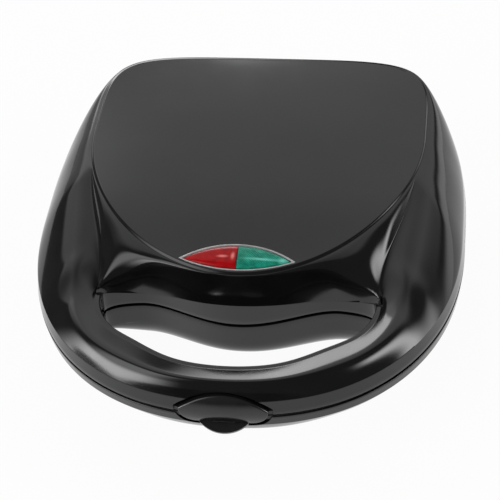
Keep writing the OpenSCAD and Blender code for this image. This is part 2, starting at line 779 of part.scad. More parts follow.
// Indicator lenses, their lamps and the holder that hangs under them
lens_bow = 400;
lens_lean = 0.117;
lens_y = window_y + 1.3;
lens_rise = 0.6;
lens_lip = 2;
lens_lip_out = 1.2;
lens_lip_back = 1.6;
lens_low = panel_top([0, window_y - window_front]) - wall - lens_lip - fit;
lamp_r = 3;
lamp_len = 16;
lamp_x = 12;
lamp_y = window_y + 2;
holder_t = 2;
holder_half = 24;
holder_d = 7;
lamp_z = lens_low - lamp_r - 1;
module lens(side) {
    intersection() {
        union() {
            translate([0, 0, lens_low]) linear_extrude(panel_z) window(-fit);
            translate([0, window_y + lens_lip_back, lens_low]) linear_extrude(lens_lip)
                almond(window_x, window_rear + lens_lip_out, window_front + lens_lip_out);
        }
        translate([side * (body_w / 2 + fit / 2), 0, panel_z]) cube(body_w, center = true);
        translate([0, lens_y + lens_lean * lens_bow,
            panel_top([0, lens_y]) + lens_rise - lens_bow * sqrt(1 - lens_lean * lens_lean)])
            sphere(lens_bow, $fn = 200);
    }
}
module lamp(side) {
    translate([side * lamp_x, lamp_y, lamp_z]) {
        x_rod(lamp_r, lamp_len);
        translate([-side * lamp_len / 2, 0, 0]) sphere(lamp_r);
    }
}
module lamp_holder() {
    low = lamp_z - lamp_r - fit - holder_t;
    color("#d9d4c4") translate([0, lamp_y, low]) {
        translate([-holder_half, -holder_d / 2, 0]) cube([2 * holder_half, holder_d, holder_t]);
        for (x = [-1, 1]) translate([x * (holder_half - holder_t / 2) - holder_t / 2, -holder_d / 2, 0])
            cube([holder_t, holder_d, lens_low - low]);
    }
}

// Cord gland: a bush through the rear wall with its collar inside
gland_z = base_z - 13.5;
gland_r = 7;
gland_bore = 3.6;
gland_out = rear_y + 2;
gland_len = 18;
gland_in = gland_out - gland_len;
collar_r = 9.5;
collar_t = 4;
module y_rod(r, from, to) {
    translate([0, from, gland_z]) rotate([-90, 0, 0]) cylinder(r = r, h = to - from);
}
module cord_gland() {
    color("#101010") difference() {
        union() {
            y_rod(gland_r, gland_in, gland_out);
            y_rod(collar_r, gland_in, gland_in + collar_t);
        }
        y_rod(gland_bore, gland_in - over, gland_out + over);
    }
}

// Bottom cover, its screws and the feet
cover_screw_r = 1.5;
cover_screw_head = [3, 1.8];
cover_screw_angles = [0, 70, 110, 180, 250, 290];
module at_cover_screws() {
    for (a = cover_screw_angles) translate(lift(floor_at(a, flange_w / 2), 0)) children();
}
module base_shell() {
    color("#1b1b1b") difference() {
        moulding([for (r = rays) base_outer_ray(r)], [for (r = rays) base_inner_ray(r)], [], false);
        hinge_notch();
        clip_recess();
        hook_notch();
        y_rod(gland_r + fit, gland_in + collar_t, gland_out + over);
        at_cover_screws() cylinder(r = cover_screw_r + run, h = seat_z + wall + over);
    }
}
module lower_frame() {
    color("#2a2a2a") {
        into_base() frame();
        base_knuckles();
    }
}
module bottom_cover() {
    color("#202020") translate([0, 0, foot_h]) difference() {
        linear_extrude(cover_t) floor_shape(fit);
        translate([0, 0, -over]) at_cover_screws() cylinder(r = cover_screw_r + run, h = cover_t + 2 * over);
    }
}
module cover_screws() {
    color("#b0b0b4") at_cover_screws() {
        translate([0, 0, foot_h - cover_screw_head[1]])
            cylinder(r = cover_screw_head[0], h = cover_screw_head[1]);
        translate([0, 0, foot_h]) cylinder(r = cover_screw_r, h = cover_t + wall);
    }
}
foot_taper = 1;
module foot(x, y) {
    color("#303030") translate([x, y, 0]) cylinder(r1 = foot_r - foot_taper, r2 = foot_r, h = foot_h);
}

// Terminal block on the bottom cover, behind the plate
block_size = [34, 14, 14];
block_x = -45;
block_back = 18;
block_y = floor_mid_y + floor_rear - flange_w - block_back;
block_bore = 2;
module terminal_block() {
    color("#e8e4d8") translate([block_x, block_y, seat_z]) difference() {
        translate([-block_size[0] / 2, -block_size[1] / 2, 0]) cube(block_size);
        for (i = [-1 : 1]) translate([i * block_size[0] / 3, 0, block_size[2] / 2])
            rotate([90, 0, 0]) cylinder(r = block_bore, h = block_size[1] + over, center = true);
    }
}
// Disc thermostat on the lower plate's boss, and a sleeved fuse in the valley between two moulds
fuse_r = 3.5;
fuse_len = 26;
fuse_lead = 0.8;
fuse_span = 36;
fuse_z = sqrt(pow(mould_r + mould_wall + fuse_r + fit, 2) - pow(mould_pitch / 2, 2)) - proud;
module thermostat() {
    color("#c9c4b6") into_base() translate([0, plate_y, heater_z]) cylinder(r = sensor_r, h = sensor_h);
}
module thermal_fuse() {
    color("#ded6c2") into_base() translate([mould_pitch, plate_y, fuse_z]) rotate([90, 0, 0]) {
        cylinder(r = fuse_r, h = fuse_len, center = true);
        cylinder(r = fuse_lead, h = fuse_span, center = true);
    }
}

lid_shell();
upper_frame();
color("#a3141a") lens(-1);  // red_lens
color("#15906c") lens(1);  // green_lens
lamp_holder();
color("#d8c8c0") lamp(-1);  // red_lamp
color("#c8d8c8") lamp(1);  // green_lamp
color("#303032") into_lid() plate(false);  // upper_plate
color("#8a8a8e") into_lid() heater();  // upper_heater
upper_reflector();
color("#b0b0b4") into_lid() plate_screws();  // upper_plate_screws
latch_pin();
latch_clip();
base_shell();
lower_frame();
color("#303032") into_base() plate(true);  // lower_plate
color("#8a8a8e") into_base() heater();  // lower_heater
lower_reflector();
color("#b0b0b4") into_base() plate_screws();  // lower_plate_screws
thermostat();
thermal_fuse();
terminal_block();
cord_gland();
bottom_cover();
cover_screws();
hinge_pin(-1);  // hinge_pin_left
hinge_pin(1);  // hinge_pin_right
foot(-foot_x, foot_front_y);  // foot_front_left
foot(foot_x, foot_front_y);  // foot_front_right
foot(-foot_x, foot_rear_y);  // foot_rear_left
foot(foot_x, foot_rear_y);  // foot_rear_right
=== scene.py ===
"""Looks of a countertop corn dog maker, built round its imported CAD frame. Lengths are in metres."""

import math

import bmesh
import bpy
import numpy as np
from mathutils import Matrix, Vector


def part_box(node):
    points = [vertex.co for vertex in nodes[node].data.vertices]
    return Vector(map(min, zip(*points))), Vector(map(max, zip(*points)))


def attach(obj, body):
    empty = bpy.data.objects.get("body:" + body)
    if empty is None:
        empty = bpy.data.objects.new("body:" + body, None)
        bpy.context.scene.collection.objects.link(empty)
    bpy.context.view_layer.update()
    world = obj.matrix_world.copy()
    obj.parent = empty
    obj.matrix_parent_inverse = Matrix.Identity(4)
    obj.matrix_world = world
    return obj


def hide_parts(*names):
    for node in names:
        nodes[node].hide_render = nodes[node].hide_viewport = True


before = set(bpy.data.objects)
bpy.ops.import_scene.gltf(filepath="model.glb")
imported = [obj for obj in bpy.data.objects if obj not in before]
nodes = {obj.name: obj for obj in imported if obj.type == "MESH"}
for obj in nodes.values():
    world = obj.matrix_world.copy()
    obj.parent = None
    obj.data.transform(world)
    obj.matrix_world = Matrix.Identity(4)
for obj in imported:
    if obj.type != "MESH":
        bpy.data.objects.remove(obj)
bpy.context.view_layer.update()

# Sizes taken from the frame
lid_low, lid_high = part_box("lid_shell")
base_low, base_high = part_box("base_shell")
HALF_W = lid_high.x
FRONT_Y = lid_low.y
REAR_Y = lid_high.y
LID_Z = lid_low.z
BASE_Z = base_high.z
FOOT_Z = base_low.z
PART_Z = (LID_Z + BASE_Z) / 2
SEAT_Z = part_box("bottom_cover")[1].z

# Hinges and the gaps round them
PIN_R = 0.0015
HINGE_X = 0.052
HINGE_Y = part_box("hinge_pin_left")[0].y + PIN_R
HINGE_GAP_HALF = 0.0139
HINGE_GAP_REACH = 0.0053
HINGE_GAP_IN = 0.010

# Body outline
WIDEST_Y = 0.001
FRONT_POWER = 2.26
REAR_POWER = 3.28
WALL = 0.0022
EDGE_R = 0.00035
PART_RELIEF = 0.0004
LID_FACE = LID_Z + PART_RELIEF
BASE_FACE = BASE_Z - PART_RELIEF
MERGE_DISTANCE = 2e-6

# Lid band, handle bar and grip opening
BAND_H = 0.009
BAND_LEAN = 0.0012
CREASE_Z = LID_Z + BAND_H
BAR_Z = 0.061
BAR_DROP = 0.0027
END_DROP = 0.004
END_DROP_POWER = 6
BAR_CREST = 0.38
END_CREST = 0.55
END_CREST_POWER = 3
RIDGE = 0.1
GRIP_X = 0.0715
GRIP_Y = -0.056
GRIP_FRONT = 0.0457
GRIP_PINCH = 0.08
GRIP_PINCH_POWER = 6
GRIP_BACK = 0.0085
GRIP_BACK_POWER = 6
GRIP_BULGE = 0.013
BULGE_X = 0.053
COVE_Z = 0.049
COVE_RISE = 0.008
COVE_END_POWER = 3
COVE_RUN = 0.007
COVE_RUN_LEAST = 0.02
COVE_SHARE = 0.9
COVE_BLEND = 0.017
COVE_FADE = 0.3
CORNER_SHARE = 0.4
FALL_SHARE = 0.5
WING_SLOPE = 0.46
WING_ROLL = 1.5
RIM_CREST = 1.05
SIDE_FULLNESS = 0.75
CREASE_FADE = (55, 95)
LIP_W = 0.0026
LIP_FALL = 0.0006
LIP_CORNER_POWER = 8

# Valley between the rim and the wing, and how far its crease is softened
VALLEY_PULL = np.array([[0.0675, -0.038], [0.0865, -0.009]])
VALLEY_SOFT = 0.006
VALLEY_SHARE = 0.15
BEND_SOFT = 0.016
VALLEY_FADE = 0.005
END_FADE = 0.004
VALLEY_LOW = 0.054
VALLEY_PASSES = 120
VALLEY_PACE = 0.6
LINE_STEPS = 80

# Lid panel
PANEL_HALF = 0.0905
PANEL_MID_Y = 0.050
PANEL_FRONT = 0.103
PANEL_REAR = 0.0635
PANEL_FRONT_POWER = 1.9
PANEL_REAR_POWER = 5.0
PANEL_Z = 0.0775
PANEL_CROWN = 0.004
PANEL_DIP = 0.003
DIP_Y = 0.005
PANEL_STEP = 0.0010
STEP_W = 0.0018
STEP_FADE = 0.85
STEP_FADE_Y = 0.070
STEP_FADE_RUN = 0.040
CROWN_Y = 0.040
PANEL_CORE = np.array([0.0, 0.030])
PANEL_MARGIN = 0.002
PANEL_NEAR = 0.0004
PANEL_LEVEL = 0.9
STEP_ROWS = 12
PANEL_ROWS = [0.995, 0.985, 0.96, 0.92, 0.86, 0.78, 0.68, 0.56, 0.43, 0.3, 0.17, 0.06]

# Base
TURN_DROP = 0.0065
TURN_INSET = 0.0006
BAR_LOW_Z = 0.0235
BAR_LOW_RISE = 0.0048
FLOOR_HALF = 0.086
FLOOR_MID_Y = 0.020
FLOOR_FRONT = 0.054
FLOOR_REAR = 0.086
FLOOR_FRONT_POWER = 3.0
FLOOR_REAR_POWER = 4.0
FLANGE_W = 0.007
COVE_POWER = 2.5
CORNER_POWER = 1.0
RIM_POWER = 1.25
RIM_SHARE = 0.8

# Angles from the front, on the outline and on the panel, where the opening and its valley end
GRIP_END = np.array([53.0, 46.0])
VALLEY_END = np.array([85.0, 72.0])
FULL_TURN = np.array([360.0, 360.0])
GRIP_STEPS = 120
VALLEY_STEPS = 28
SIDE_STEPS = 150
BAR_ROWS = 34
ROW_CROWD = 1.35
INNER_ROWS = 40

# Rows over rounded edges in degrees, and up the band and the opening's walls as shares of their height
EDGE_TURNS = (0, 30, 60, 90)
BAND_ROWS = (0.3, 0.5, 0.7, 0.85, 0.95, 1)
WALL_ROWS = (0.25, 0.5, 0.75, 1)

# Indicator window
WINDOW_X = 0.029
WINDOW_Y = -0.0453
WINDOW_REAR = 0.0095
WINDOW_FRONT = 0.0062
WINDOW_STEPS = 48
WINDOW_CUT_UP = 0.02
BEZEL_W = 0.0008
BEZEL_LAP = 0.0002
LENS_GAP = 0.0008
LENS_RISE = 0.0018
LENS_ROUND = 4
LENS_DEEP = 0.0035
LENS_TIP = 0.998
LENS_COLUMNS = 150
LENS_ROWS = 84
LENS_RIB = 0.0003
RIB_GAP = 0.00005
RIB_DROP = 0.0002
RIB_ROUND = 0.0001
RIB_ROWS = 24
PRISM_CELL = 0.0013
PRISM_DEEP = 0.00028
PRISM_FADE = 8

# Latch clip
CLIP_Z = 0.0453
CLIP_X = 0.0226
CLIP_UP = 0.0088
CLIP_DOWN = 0.0092
CLIP_CORNER = 0.0085
CLIP_T = 0.0024
CLIP_BOW = 0.170
CLIP_ROUND = 0.020
CLIP_PROUD = 0.0008
CLIP_MID_Z = 0.043
CLIP_EDGE = 0.0007
CLIP_STEPS = 60
CLIP_CORNER_STEPS = 16
CLIP_EDGE_ROWS = (0, 0.04, 0.14, 0.3, 0.55, 0.8, 1, 1.5, 2.3, 3.4)
CLIP_FACE_ROWS = (0.85, 0.7, 0.5, 0.3, 0.12)
CLIP_SINK = 0.001
RECESS_GAP = 0.0023
RECESS_DEEP = 0.0075
RECESS_CUT_OUT = 0.01
LATCH_Y = -0.117
LATCH_Z = 0.0478
KNUCKLE_R = 0.0024
KNUCKLE_BORE_R = 0.00125
KNUCKLE_STEPS = 32
LATCH_HALF = 0.008
LATCH_WEB = 0.0035
WEB_SHORT = 0.0014
WEB_ROUND = 0.0003
HOOK_Z = 0.0374
HOOK_T = 0.003
HOOK_HALF = 0.006
HOOK_BACK = -0.1161
HOOK_ROUND = 0.0005
NOTCH_HALF = 0.007
NOTCH_UNDER = 0.004
NOTCH_DEEP = 0.0048
NOTCH_CUT_OUT = 0.001
TONGUE_X = 0.0126
TONGUE_OUT = 0.00576
TONGUE_T = 0.0018
TONGUE_ROOT = 0.0016
TONGUE_Z = 0.0367
TONGUE_SLOPE = 23
TONGUE_ROUND = 0.0006
TONGUE_STEPS = 24

# Angles in degrees over which an edge is drawn sharp
SHELL_SHARP = 34
SMALL_SHARP = 40
BEZEL_SHARP = 50
PRISM_SHARP = 3


# Plan curves and heights of the mouldings
def spow(value, power):
    """Power that keeps the sign."""
    return np.sign(value) * np.abs(value) ** power


def mix(a, b, k):
    return a + (b - a) * k


def ramp(k):
    """Smooth step from 0 to 1."""
    c = np.clip(k, 0, 1)
    return c * c * (3 - 2 * c)


def oval(angle, half_w, mid_y, front, rear, front_power, rear_power):
    """Closed plan curve of two superellipse halves, at an angle in degrees from the front."""
    c = np.sin(np.radians(angle))
    s = -np.cos(np.radians(angle))
    power = np.where(s < 0, front_power, rear_power)
    reach = np.where(s < 0, front, rear)
    return np.stack([half_w * spow(c, 2 / power), mid_y + reach * spow(s, 2 / power)], -1)


def outline_at(angle, inset):
    front = WIDEST_Y - FRONT_Y - inset
    rear = REAR_Y - WIDEST_Y - inset
    return oval(angle, HALF_W - inset, WIDEST_Y, front, rear, FRONT_POWER, REAR_POWER)


def panel_at(angle, inset):
    return oval(angle, PANEL_HALF - inset, PANEL_MID_Y, PANEL_FRONT - inset, PANEL_REAR - inset,
                PANEL_FRONT_POWER, PANEL_REAR_POWER)


def floor_at(angle, inset):
    return oval(angle, FLOOR_HALF - inset, FLOOR_MID_Y, FLOOR_FRONT - inset, FLOOR_REAR - inset,
                FLOOR_FRONT_POWER, FLOOR_REAR_POWER)


def grip_front_at(u, out):
    a = np.pi / 2 * u
    pinch = 1 - GRIP_PINCH * np.sin(2 * a) ** GRIP_PINCH_POWER
    reach = (GRIP_FRONT + out) * np.cos(a) * pinch
    return np.stack([(GRIP_X + out) * np.sin(a), GRIP_Y - reach], -1)


def bulge_at(x):
    return np.maximum(0, 1 - (x / BULGE_X) ** 2) ** 2


def grip_back_at(u, out):
    s = np.sin(np.pi / 2 * u)
    x = (GRIP_X + out) * s
    arch = np.sqrt(np.maximum(0, 1 - np.abs(s) ** GRIP_BACK_POWER))
    y = GRIP_Y + (GRIP_BACK + out) * arch - GRIP_BULGE * bulge_at(x)
    return np.stack([x, y], -1)


def panel_top(p):
    across = 1 - (p[..., 0] / PANEL_HALF) ** 2
    front_run = CROWN_Y - PANEL_MID_Y + PANEL_FRONT
    rear_run = PANEL_MID_Y + PANEL_REAR - CROWN_Y
    run = np.where(p[..., 1] < CROWN_Y, front_run, rear_run)
    along = 1 - ((p[..., 1] - CROWN_Y) / run) ** 2
    dip = PANEL_DIP * ramp((DIP_Y - p[..., 1]) / (DIP_Y - PANEL_MID_Y + PANEL_FRONT))
    return PANEL_Z + PANEL_CROWN * np.maximum(0, across) * np.maximum(0, along) - dip


def panel_height(x, y):
    return float(panel_top(np.array([x, y])))


def step_at(p):
    return PANEL_STEP * (1 - STEP_FADE * ramp((p[..., 1] - STEP_FADE_Y) / STEP_FADE_RUN))


def bar_section(q, z0, crest, crest_q, drop, fullness=1):
    """Height over the bar or rim: a rise to the crest, then a fall towards the opening."""
    rise = z0 + (crest - z0) * np.sin(np.pi / 2 * np.minimum(1, q / crest_q)) ** fullness
    past = np.clip((q - crest_q) / np.maximum(1e-6, 1 - crest_q), 0, 1)
    slope = (np.sqrt(past**2 + RIDGE**2) - RIDGE) / (math.sqrt(1 + RIDGE**2) - RIDGE)
    return rise - np.where(q > crest_q, drop * slope, 0)


def round_min(a, b, blend):
    """The smaller of two heights, with the corner between them rounded."""
    near = np.maximum(0, 1 - np.abs(a - b) / np.maximum(blend, 1e-9))
    return np.minimum(a, b) - blend / 4 * near**2


def lift(p, z):
    """Plan points with their heights."""
    return np.concatenate([p, np.broadcast_to(z, p.shape[:-1])[..., None]], -1)


def make_rays():
    """Outline angle, inner angle, place along the grip and progress out of the valley, for each ray."""
    rows = []
    for i in range(GRIP_STEPS):
        u = 2 * i / GRIP_STEPS - 1
        rows.append([*(GRIP_END * u), u, 0])
    for i in range(VALLEY_STEPS):
        k = i / VALLEY_STEPS
        rows.append([*mix(GRIP_END, VALLEY_END, k), 1, k])
    for i in range(SIDE_STEPS):
        k = i / SIDE_STEPS
        rows.append([*mix(VALLEY_END, FULL_TURN - VALLEY_END, k), 1 if k < 0.5 else -1, 1])
    for i in range(VALLEY_STEPS):
        k = i / VALLEY_STEPS
        rows.append([*mix(FULL_TURN - VALLEY_END, FULL_TURN - GRIP_END, k), -1, 1 - k])
    return np.array(rows, float).T


outer_angle, inner_angle, along_grip, valley = make_rays()

# Rounded lip round the opening, as shares of its width and of its fall
LIP_ROWS = [(1, 0), (0.9, 0.02), (0.7, 0.04), (0.45, 0.07), (0.2, 0.14), (0.1, 0.3), (0.03, 0.6), (0, 1)]


def valley_line(k):
    """Plan line of the valley between the rim and the wing, from the opening's right end to the panel."""
    first = np.array([GRIP_X + LIP_W, GRIP_Y])
    last = panel_at(VALLEY_END[1], -STEP_W)
    k = k[:, None]
    return ((1 - k) ** 3 * first + 3 * (1 - k) ** 2 * k * VALLEY_PULL[0]
            + 3 * (1 - k) * k**2 * VALLEY_PULL[1] + k**3 * last)


def edge_walls(end_z, lip_z, corner, face_z):
    """Rows down the opening's front wall and its rear wall, from their lips to the parting face."""
    sign = np.sign(end_z[0] - face_z)
    front_wall = []
    rear_wall = []
    for share, fall_share in LIP_ROWS:
        dip = sign * LIP_FALL * fall_share
        front_wall.append(lift(grip_front_at(along_grip, LIP_W * share), end_z - dip))
        rear_wall.append(lift(grip_back_at(along_grip, LIP_W * share * corner), lip_z - dip))
    stop = face_z + sign * EDGE_R
    for k in WALL_ROWS:
        front_wall.append(lift(grip_front_at(along_grip, 0), mix(end_z - sign * LIP_FALL, stop, k)))
        rear_wall.append(lift(grip_back_at(along_grip, 0), mix(lip_z - sign * LIP_FALL, stop, k)))
    for turn in EDGE_TURNS[1:]:
        a = math.radians(turn)
        out = EDGE_R * (1 - math.cos(a))
        z = face_z + sign * EDGE_R * (1 - math.sin(a))
        front_wall.append(lift(grip_front_at(along_grip, out), z))
        rear_wall.append(lift(grip_back_at(along_grip, out), z))
    return front_wall, rear_wall[::-1]


def outer_rows(band, outer_end, crest, crest_q, fall, fullness=1):
    """Rows up the band and over the bar or rim to the ends given."""
    last_inset, last_z = band[-1]
    start = outline_at(outer_angle, last_inset)
    rows = [lift(outline_at(outer_angle, inset), z) for inset, z in band]
    for j in range(1, BAR_ROWS + 1):
        q = np.full_like(crest, (j / BAR_ROWS) ** ROW_CROWD)
        z = bar_section(q, last_z, crest, crest_q, fall, fullness)
        rows.append(lift(mix(start, outer_end, q[:, None]), z))
    return rows


def lid_patches():
    """Grids of points, ray by row, over the lid: outside, opening's front and rear walls, inside."""
    foot = panel_at(inner_angle, -STEP_W)
    foot_z = panel_top(foot) - step_at(foot)
    in_grip = valley == 0
    corner = np.abs(along_grip) ** LIP_CORNER_POWER
    drop = mix(BAR_DROP, END_DROP, np.abs(along_grip) ** END_DROP_POWER)
    bar_end_z = BAR_Z - drop
    line = valley_line(valley) * np.stack([np.sign(along_grip), np.ones_like(valley)], -1)
    line = np.where((valley >= 1)[:, None], foot, line)
    outer_end = np.where(in_grip[:, None], grip_front_at(along_grip, LIP_W), line)
    inner_end = np.where(in_grip[:, None], grip_back_at(along_grip, LIP_W * corner), line)
    reach = np.linalg.norm(foot - inner_end, axis=-1)
    wing_z = foot_z - WING_SLOPE * reach
    end_z = np.where(in_grip, bar_end_z, mix(bar_end_z, wing_z, ramp(valley / CORNER_SHARE)))

    # Foot of the cove and of the wing above it, and the cove's incline
    cove_z = COVE_Z + COVE_RISE * bulge_at(inner_end[:, 0])
    low = np.where(in_grip, mix(cove_z, bar_end_z, np.abs(along_grip) ** COVE_END_POWER), end_z)
    wing_low = np.where(in_grip, wing_z, end_z)
    cove_share = 1 - ramp(valley / COVE_FADE)
    run = np.minimum(COVE_RUN, COVE_SHARE * reach) * np.maximum(COVE_RUN_LEAST, cove_share)
    top = mix(foot_z, wing_low, (1 - run / np.maximum(reach, 1e-9)) ** WING_ROLL)
    steep = (top - low) / np.maximum(run, 1e-9)
    blend = 4 * COVE_BLEND * np.minimum(1, reach / COVE_RUN) * cove_share

    # Band, and the bar and rim over it
    s = ramp(valley)
    fall = drop * (1 - ramp(valley / FALL_SHARE))
    band = round_band(BAND_LEAN, BAND_H - PART_RELIEF, LID_FACE, 1)
    from_front = 180 - np.abs(outer_angle % 360 - 180)
    to_side = ramp((from_front - CREASE_FADE[0]) / (CREASE_FADE[1] - CREASE_FADE[0]))
    fullness = mix(1, SIDE_FULLNESS, to_side)
    crest_q = mix(mix(BAR_CREST, END_CREST, np.abs(along_grip) ** END_CREST_POWER), RIM_CREST, s)
    reached = np.sin(np.pi / 2 * np.minimum(1, 1 / crest_q)) ** fullness
    crest = CREASE_Z + (end_z + fall - CREASE_Z) / reached
    outside = outer_rows(band, outer_end, crest, crest_q, fall, fullness)
    front_wall, rear_wall = edge_walls(bar_end_z, low, corner, LID_FACE)

    # Cove and wing, the step up to the panel, and the panel
    inside = []
    for j in range(INNER_ROWS + 1):
        t = j / INNER_ROWS
        wing = mix(foot_z, wing_low, (1 - t) ** WING_ROLL)
        z = round_min(low + steep * reach * t, wing, blend * t * (1 - t))
        inside.append(lift(mix(inner_end, foot, t), z))
    edge = panel_at(inner_angle, 0)
    step = panel_top(edge) - foot_z
    for j in range(1, STEP_ROWS + 1):
        k = j / STEP_ROWS
        inside.append(lift(panel_at(inner_angle, STEP_W * (k - 1)), foot_z + step * ramp(k)))
    for k in PANEL_ROWS:
        p = mix(PANEL_CORE, edge, k)
        inside.append(lift(p, panel_top(p)))
    return outside, front_wall, rear_wall, inside


def base_patches():
    """Grids of points, ray by row, over the base, from its parting face down to the cover's seat."""
    foot = floor_at(inner_angle, 0)
    foot_z = np.full_like(inner_angle, FOOT_Z)
    s = ramp(valley)
    corner = np.abs(along_grip) ** LIP_CORNER_POWER
    band = round_band(TURN_INSET, TURN_DROP - PART_RELIEF, BASE_FACE, -1)
    start = outline_at(outer_angle, band[-1][0])
    rim = mix(start, foot, RIM_SHARE)
    crest = mix(BAR_LOW_Z, foot_z, s)
    crest_q = mix(END_CREST, 1 / RIM_SHARE, s)
    fall = -BAR_LOW_RISE * (1 - s)
    outer_end = mix(grip_front_at(along_grip, LIP_W), rim, s[:, None])
    inner_end = mix(grip_back_at(along_grip, LIP_W * corner), rim, s[:, None])
    end_z = bar_section(np.ones_like(s), band[-1][1], crest, crest_q, fall)
    power = mix(mix(COVE_POWER, CORNER_POWER, along_grip**2), RIM_POWER, s)
    outside = outer_rows(band, outer_end, crest, crest_q, fall)
    front_wall, rear_wall = edge_walls(end_z, end_z, corner, BASE_FACE)
    inside = []
    for j in range(INNER_ROWS + 1):
        t = j / INNER_ROWS
        inside.append(lift(mix(inner_end, foot, (t**power)[:, None]), mix(end_z, foot_z, t)))
    inside.append(lift(foot, SEAT_Z))
    inside.append(lift(floor_at(inner_angle, FLANGE_W), SEAT_Z))
    return outside, front_wall, rear_wall, inside


def round_band(lean, height, face_z, sign):
    """Inset and height pairs up a wall from its rounded edge."""
    rows = []
    for turn in EDGE_TURNS:
        a = math.radians(turn)
        rows.append((EDGE_R * (1 - math.sin(a)), face_z + sign * EDGE_R * (1 - math.cos(a))))
    for k in BAND_ROWS:
        rows.append((lean * k, face_z + sign * height * k))
    return rows


# Mesh building
def add_grid(bm, rows, columns, closed, flip):
    """Quads over a grid of rows, for the first columns of each row."""
    made = [[bm.verts.new(p) for p in row[:columns]] for row in rows]
    for low, high in zip(made, made[1:]):
        for i in range(columns if closed else columns - 1):
            k = (i + 1) % columns
            corners = [low[i], low[k], high[k], high[i]]
            bm.faces.new(corners[::-1] if flip else corners)
    return made


def add_ring_faces(bm, first, second):
    """Quads between two closed rings with equal numbers of points."""
    count = len(first)
    for i in range(count):
        k = (i + 1) % count
        bm.faces.new([first[i], first[k], second[k], second[i]])


def object_from(bm, name):
    mesh = bpy.data.meshes.new(name)
    bm.to_mesh(mesh)
    bm.free()
    obj = bpy.data.objects.new(name, mesh)
    bpy.context.scene.collection.objects.link(obj)
    return obj


def bake_modifiers(obj):
    """Puts the result of an object's modifiers into its own mesh."""
    shape = obj.evaluated_get(bpy.context.evaluated_depsgraph_get())
    mesh = bpy.data.meshes.new_from_object(shape)
    obj.modifiers.clear()
    obj.data = mesh


def thicken(obj, thickness):
    solid = obj.modifiers.new("wall", "SOLIDIFY")
    solid.thickness = thickness
    solid.offset = -1
    bake_modifiers(obj)


def cut(obj, *tools):
    """Cuts tools out of an object and deletes the tools."""
    for tool in tools:
        difference = obj.modifiers.new("cut", "BOOLEAN")
        difference.operation = "DIFFERENCE"
        difference.solver = "MANIFOLD"
        difference.object = tool
    bake_modifiers(obj)
    for tool in tools:
        bpy.data.objects.remove(tool)


def smooth(obj, angle):
    for face in obj.data.polygons:
        face.use_smooth = True
    obj.data.set_sharp_from_angle(angle=math.radians(angle))


def add_box(bm, low, high):
    size = Vector(high) - Vector(low)
    middle = (Vector(high) + Vector(low)) / 2
    return bmesh.ops.create_cube(bm, size=1, matrix=Matrix.LocRotScale(middle, None, size))


def box_tool(low, high):
    bm = bmesh.new()
    add_box(bm, low, high)
    return object_from(bm, "tool")


def prism_tool(outline, low, high):
    """Upright prism over a closed plan outline."""
    bm = bmesh.new()
    rings = [[bm.verts.new((*p, z)) for p in outline] for z in (low, high)]
    add_ring_faces(bm, rings[0], rings[1])
    bm.faces.new(rings[0][::-1])
    bm.faces.new(rings[1])
    return object_from(bm, "tool")


def almond(half, rear, front, steps):
    """Closed plan outline between two arcs with tips at x -half and half, from the right tip."""
    points = []
    for rise, sign in ((rear, 1), (front, -1)):
        radius = (half**2 + rise**2) / (2 * rise)
        for i in range(steps):
            x = sign * half * math.cos(math.pi * i / steps)
            points.append((x, sign * (math.sqrt(radius**2 - x**2) - radius + rise)))
    return points


def window_outline(out):
    ring = almond(WINDOW_X + 2 * out, WINDOW_REAR + out, WINDOW_FRONT + out, WINDOW_STEPS)
    return [(x, y + WINDOW_Y) for x, y in ring]


def clip_outline(out):
    """Front view of the latch clip, grown by an amount: an arc above a flat foot with round corners."""
    half = CLIP_X + out
    radius = (CLIP_X**2 + CLIP_UP**2) / (2 * CLIP_UP) + out
    points = []
    for i in range(CLIP_STEPS + 1):
        x = half * math.cos(math.pi * i / CLIP_STEPS)
        points.append((x, CLIP_Z + CLIP_UP + out - radius + math.sqrt(radius**2 - x**2)))
    bend = CLIP_CORNER + out
    for side in (-1, 1):
        for i in range(CLIP_CORNER_STEPS + 1):
            k = i / CLIP_CORNER_STEPS
            turn = math.pi / 2 * (k if side < 0 else 1 - k)
            x = side * (half - bend + bend * math.cos(turn))
            points.append((x, CLIP_Z - CLIP_DOWN - out + bend * (1 - math.sin(turn))))
    return points


def recess_tool():
    """Tool for the recess that the latch clip lies in."""
    bm = bmesh.new()
    ring = clip_outline(RECESS_GAP)
    ends = (FRONT_Y - RECESS_CUT_OUT, FRONT_Y + RECESS_DEEP)
    rings = [[bm.verts.new((x, y, z)) for x, z in ring] for y in ends]
    add_ring_faces(bm, rings[1], rings[0])
    bm.faces.new(rings[0])
    bm.faces.new(rings[1][::-1])
    bmesh.ops.recalc_face_normals(bm, faces=bm.faces)
    return object_from(bm, "tool")


def hinge_tools():
    """Tools for the gaps round the two hinges."""
    tools = []
    for x in (-HINGE_X, HINGE_X):
        low = (x - HINGE_GAP_HALF, REAR_Y - HINGE_GAP_IN, PART_Z - HINGE_GAP_REACH)
        high = (x + HINGE_GAP_HALF, HINGE_Y + HINGE_GAP_REACH, PART_Z + HINGE_GAP_REACH)
        tools.append(box_tool(low, high))
    return tools


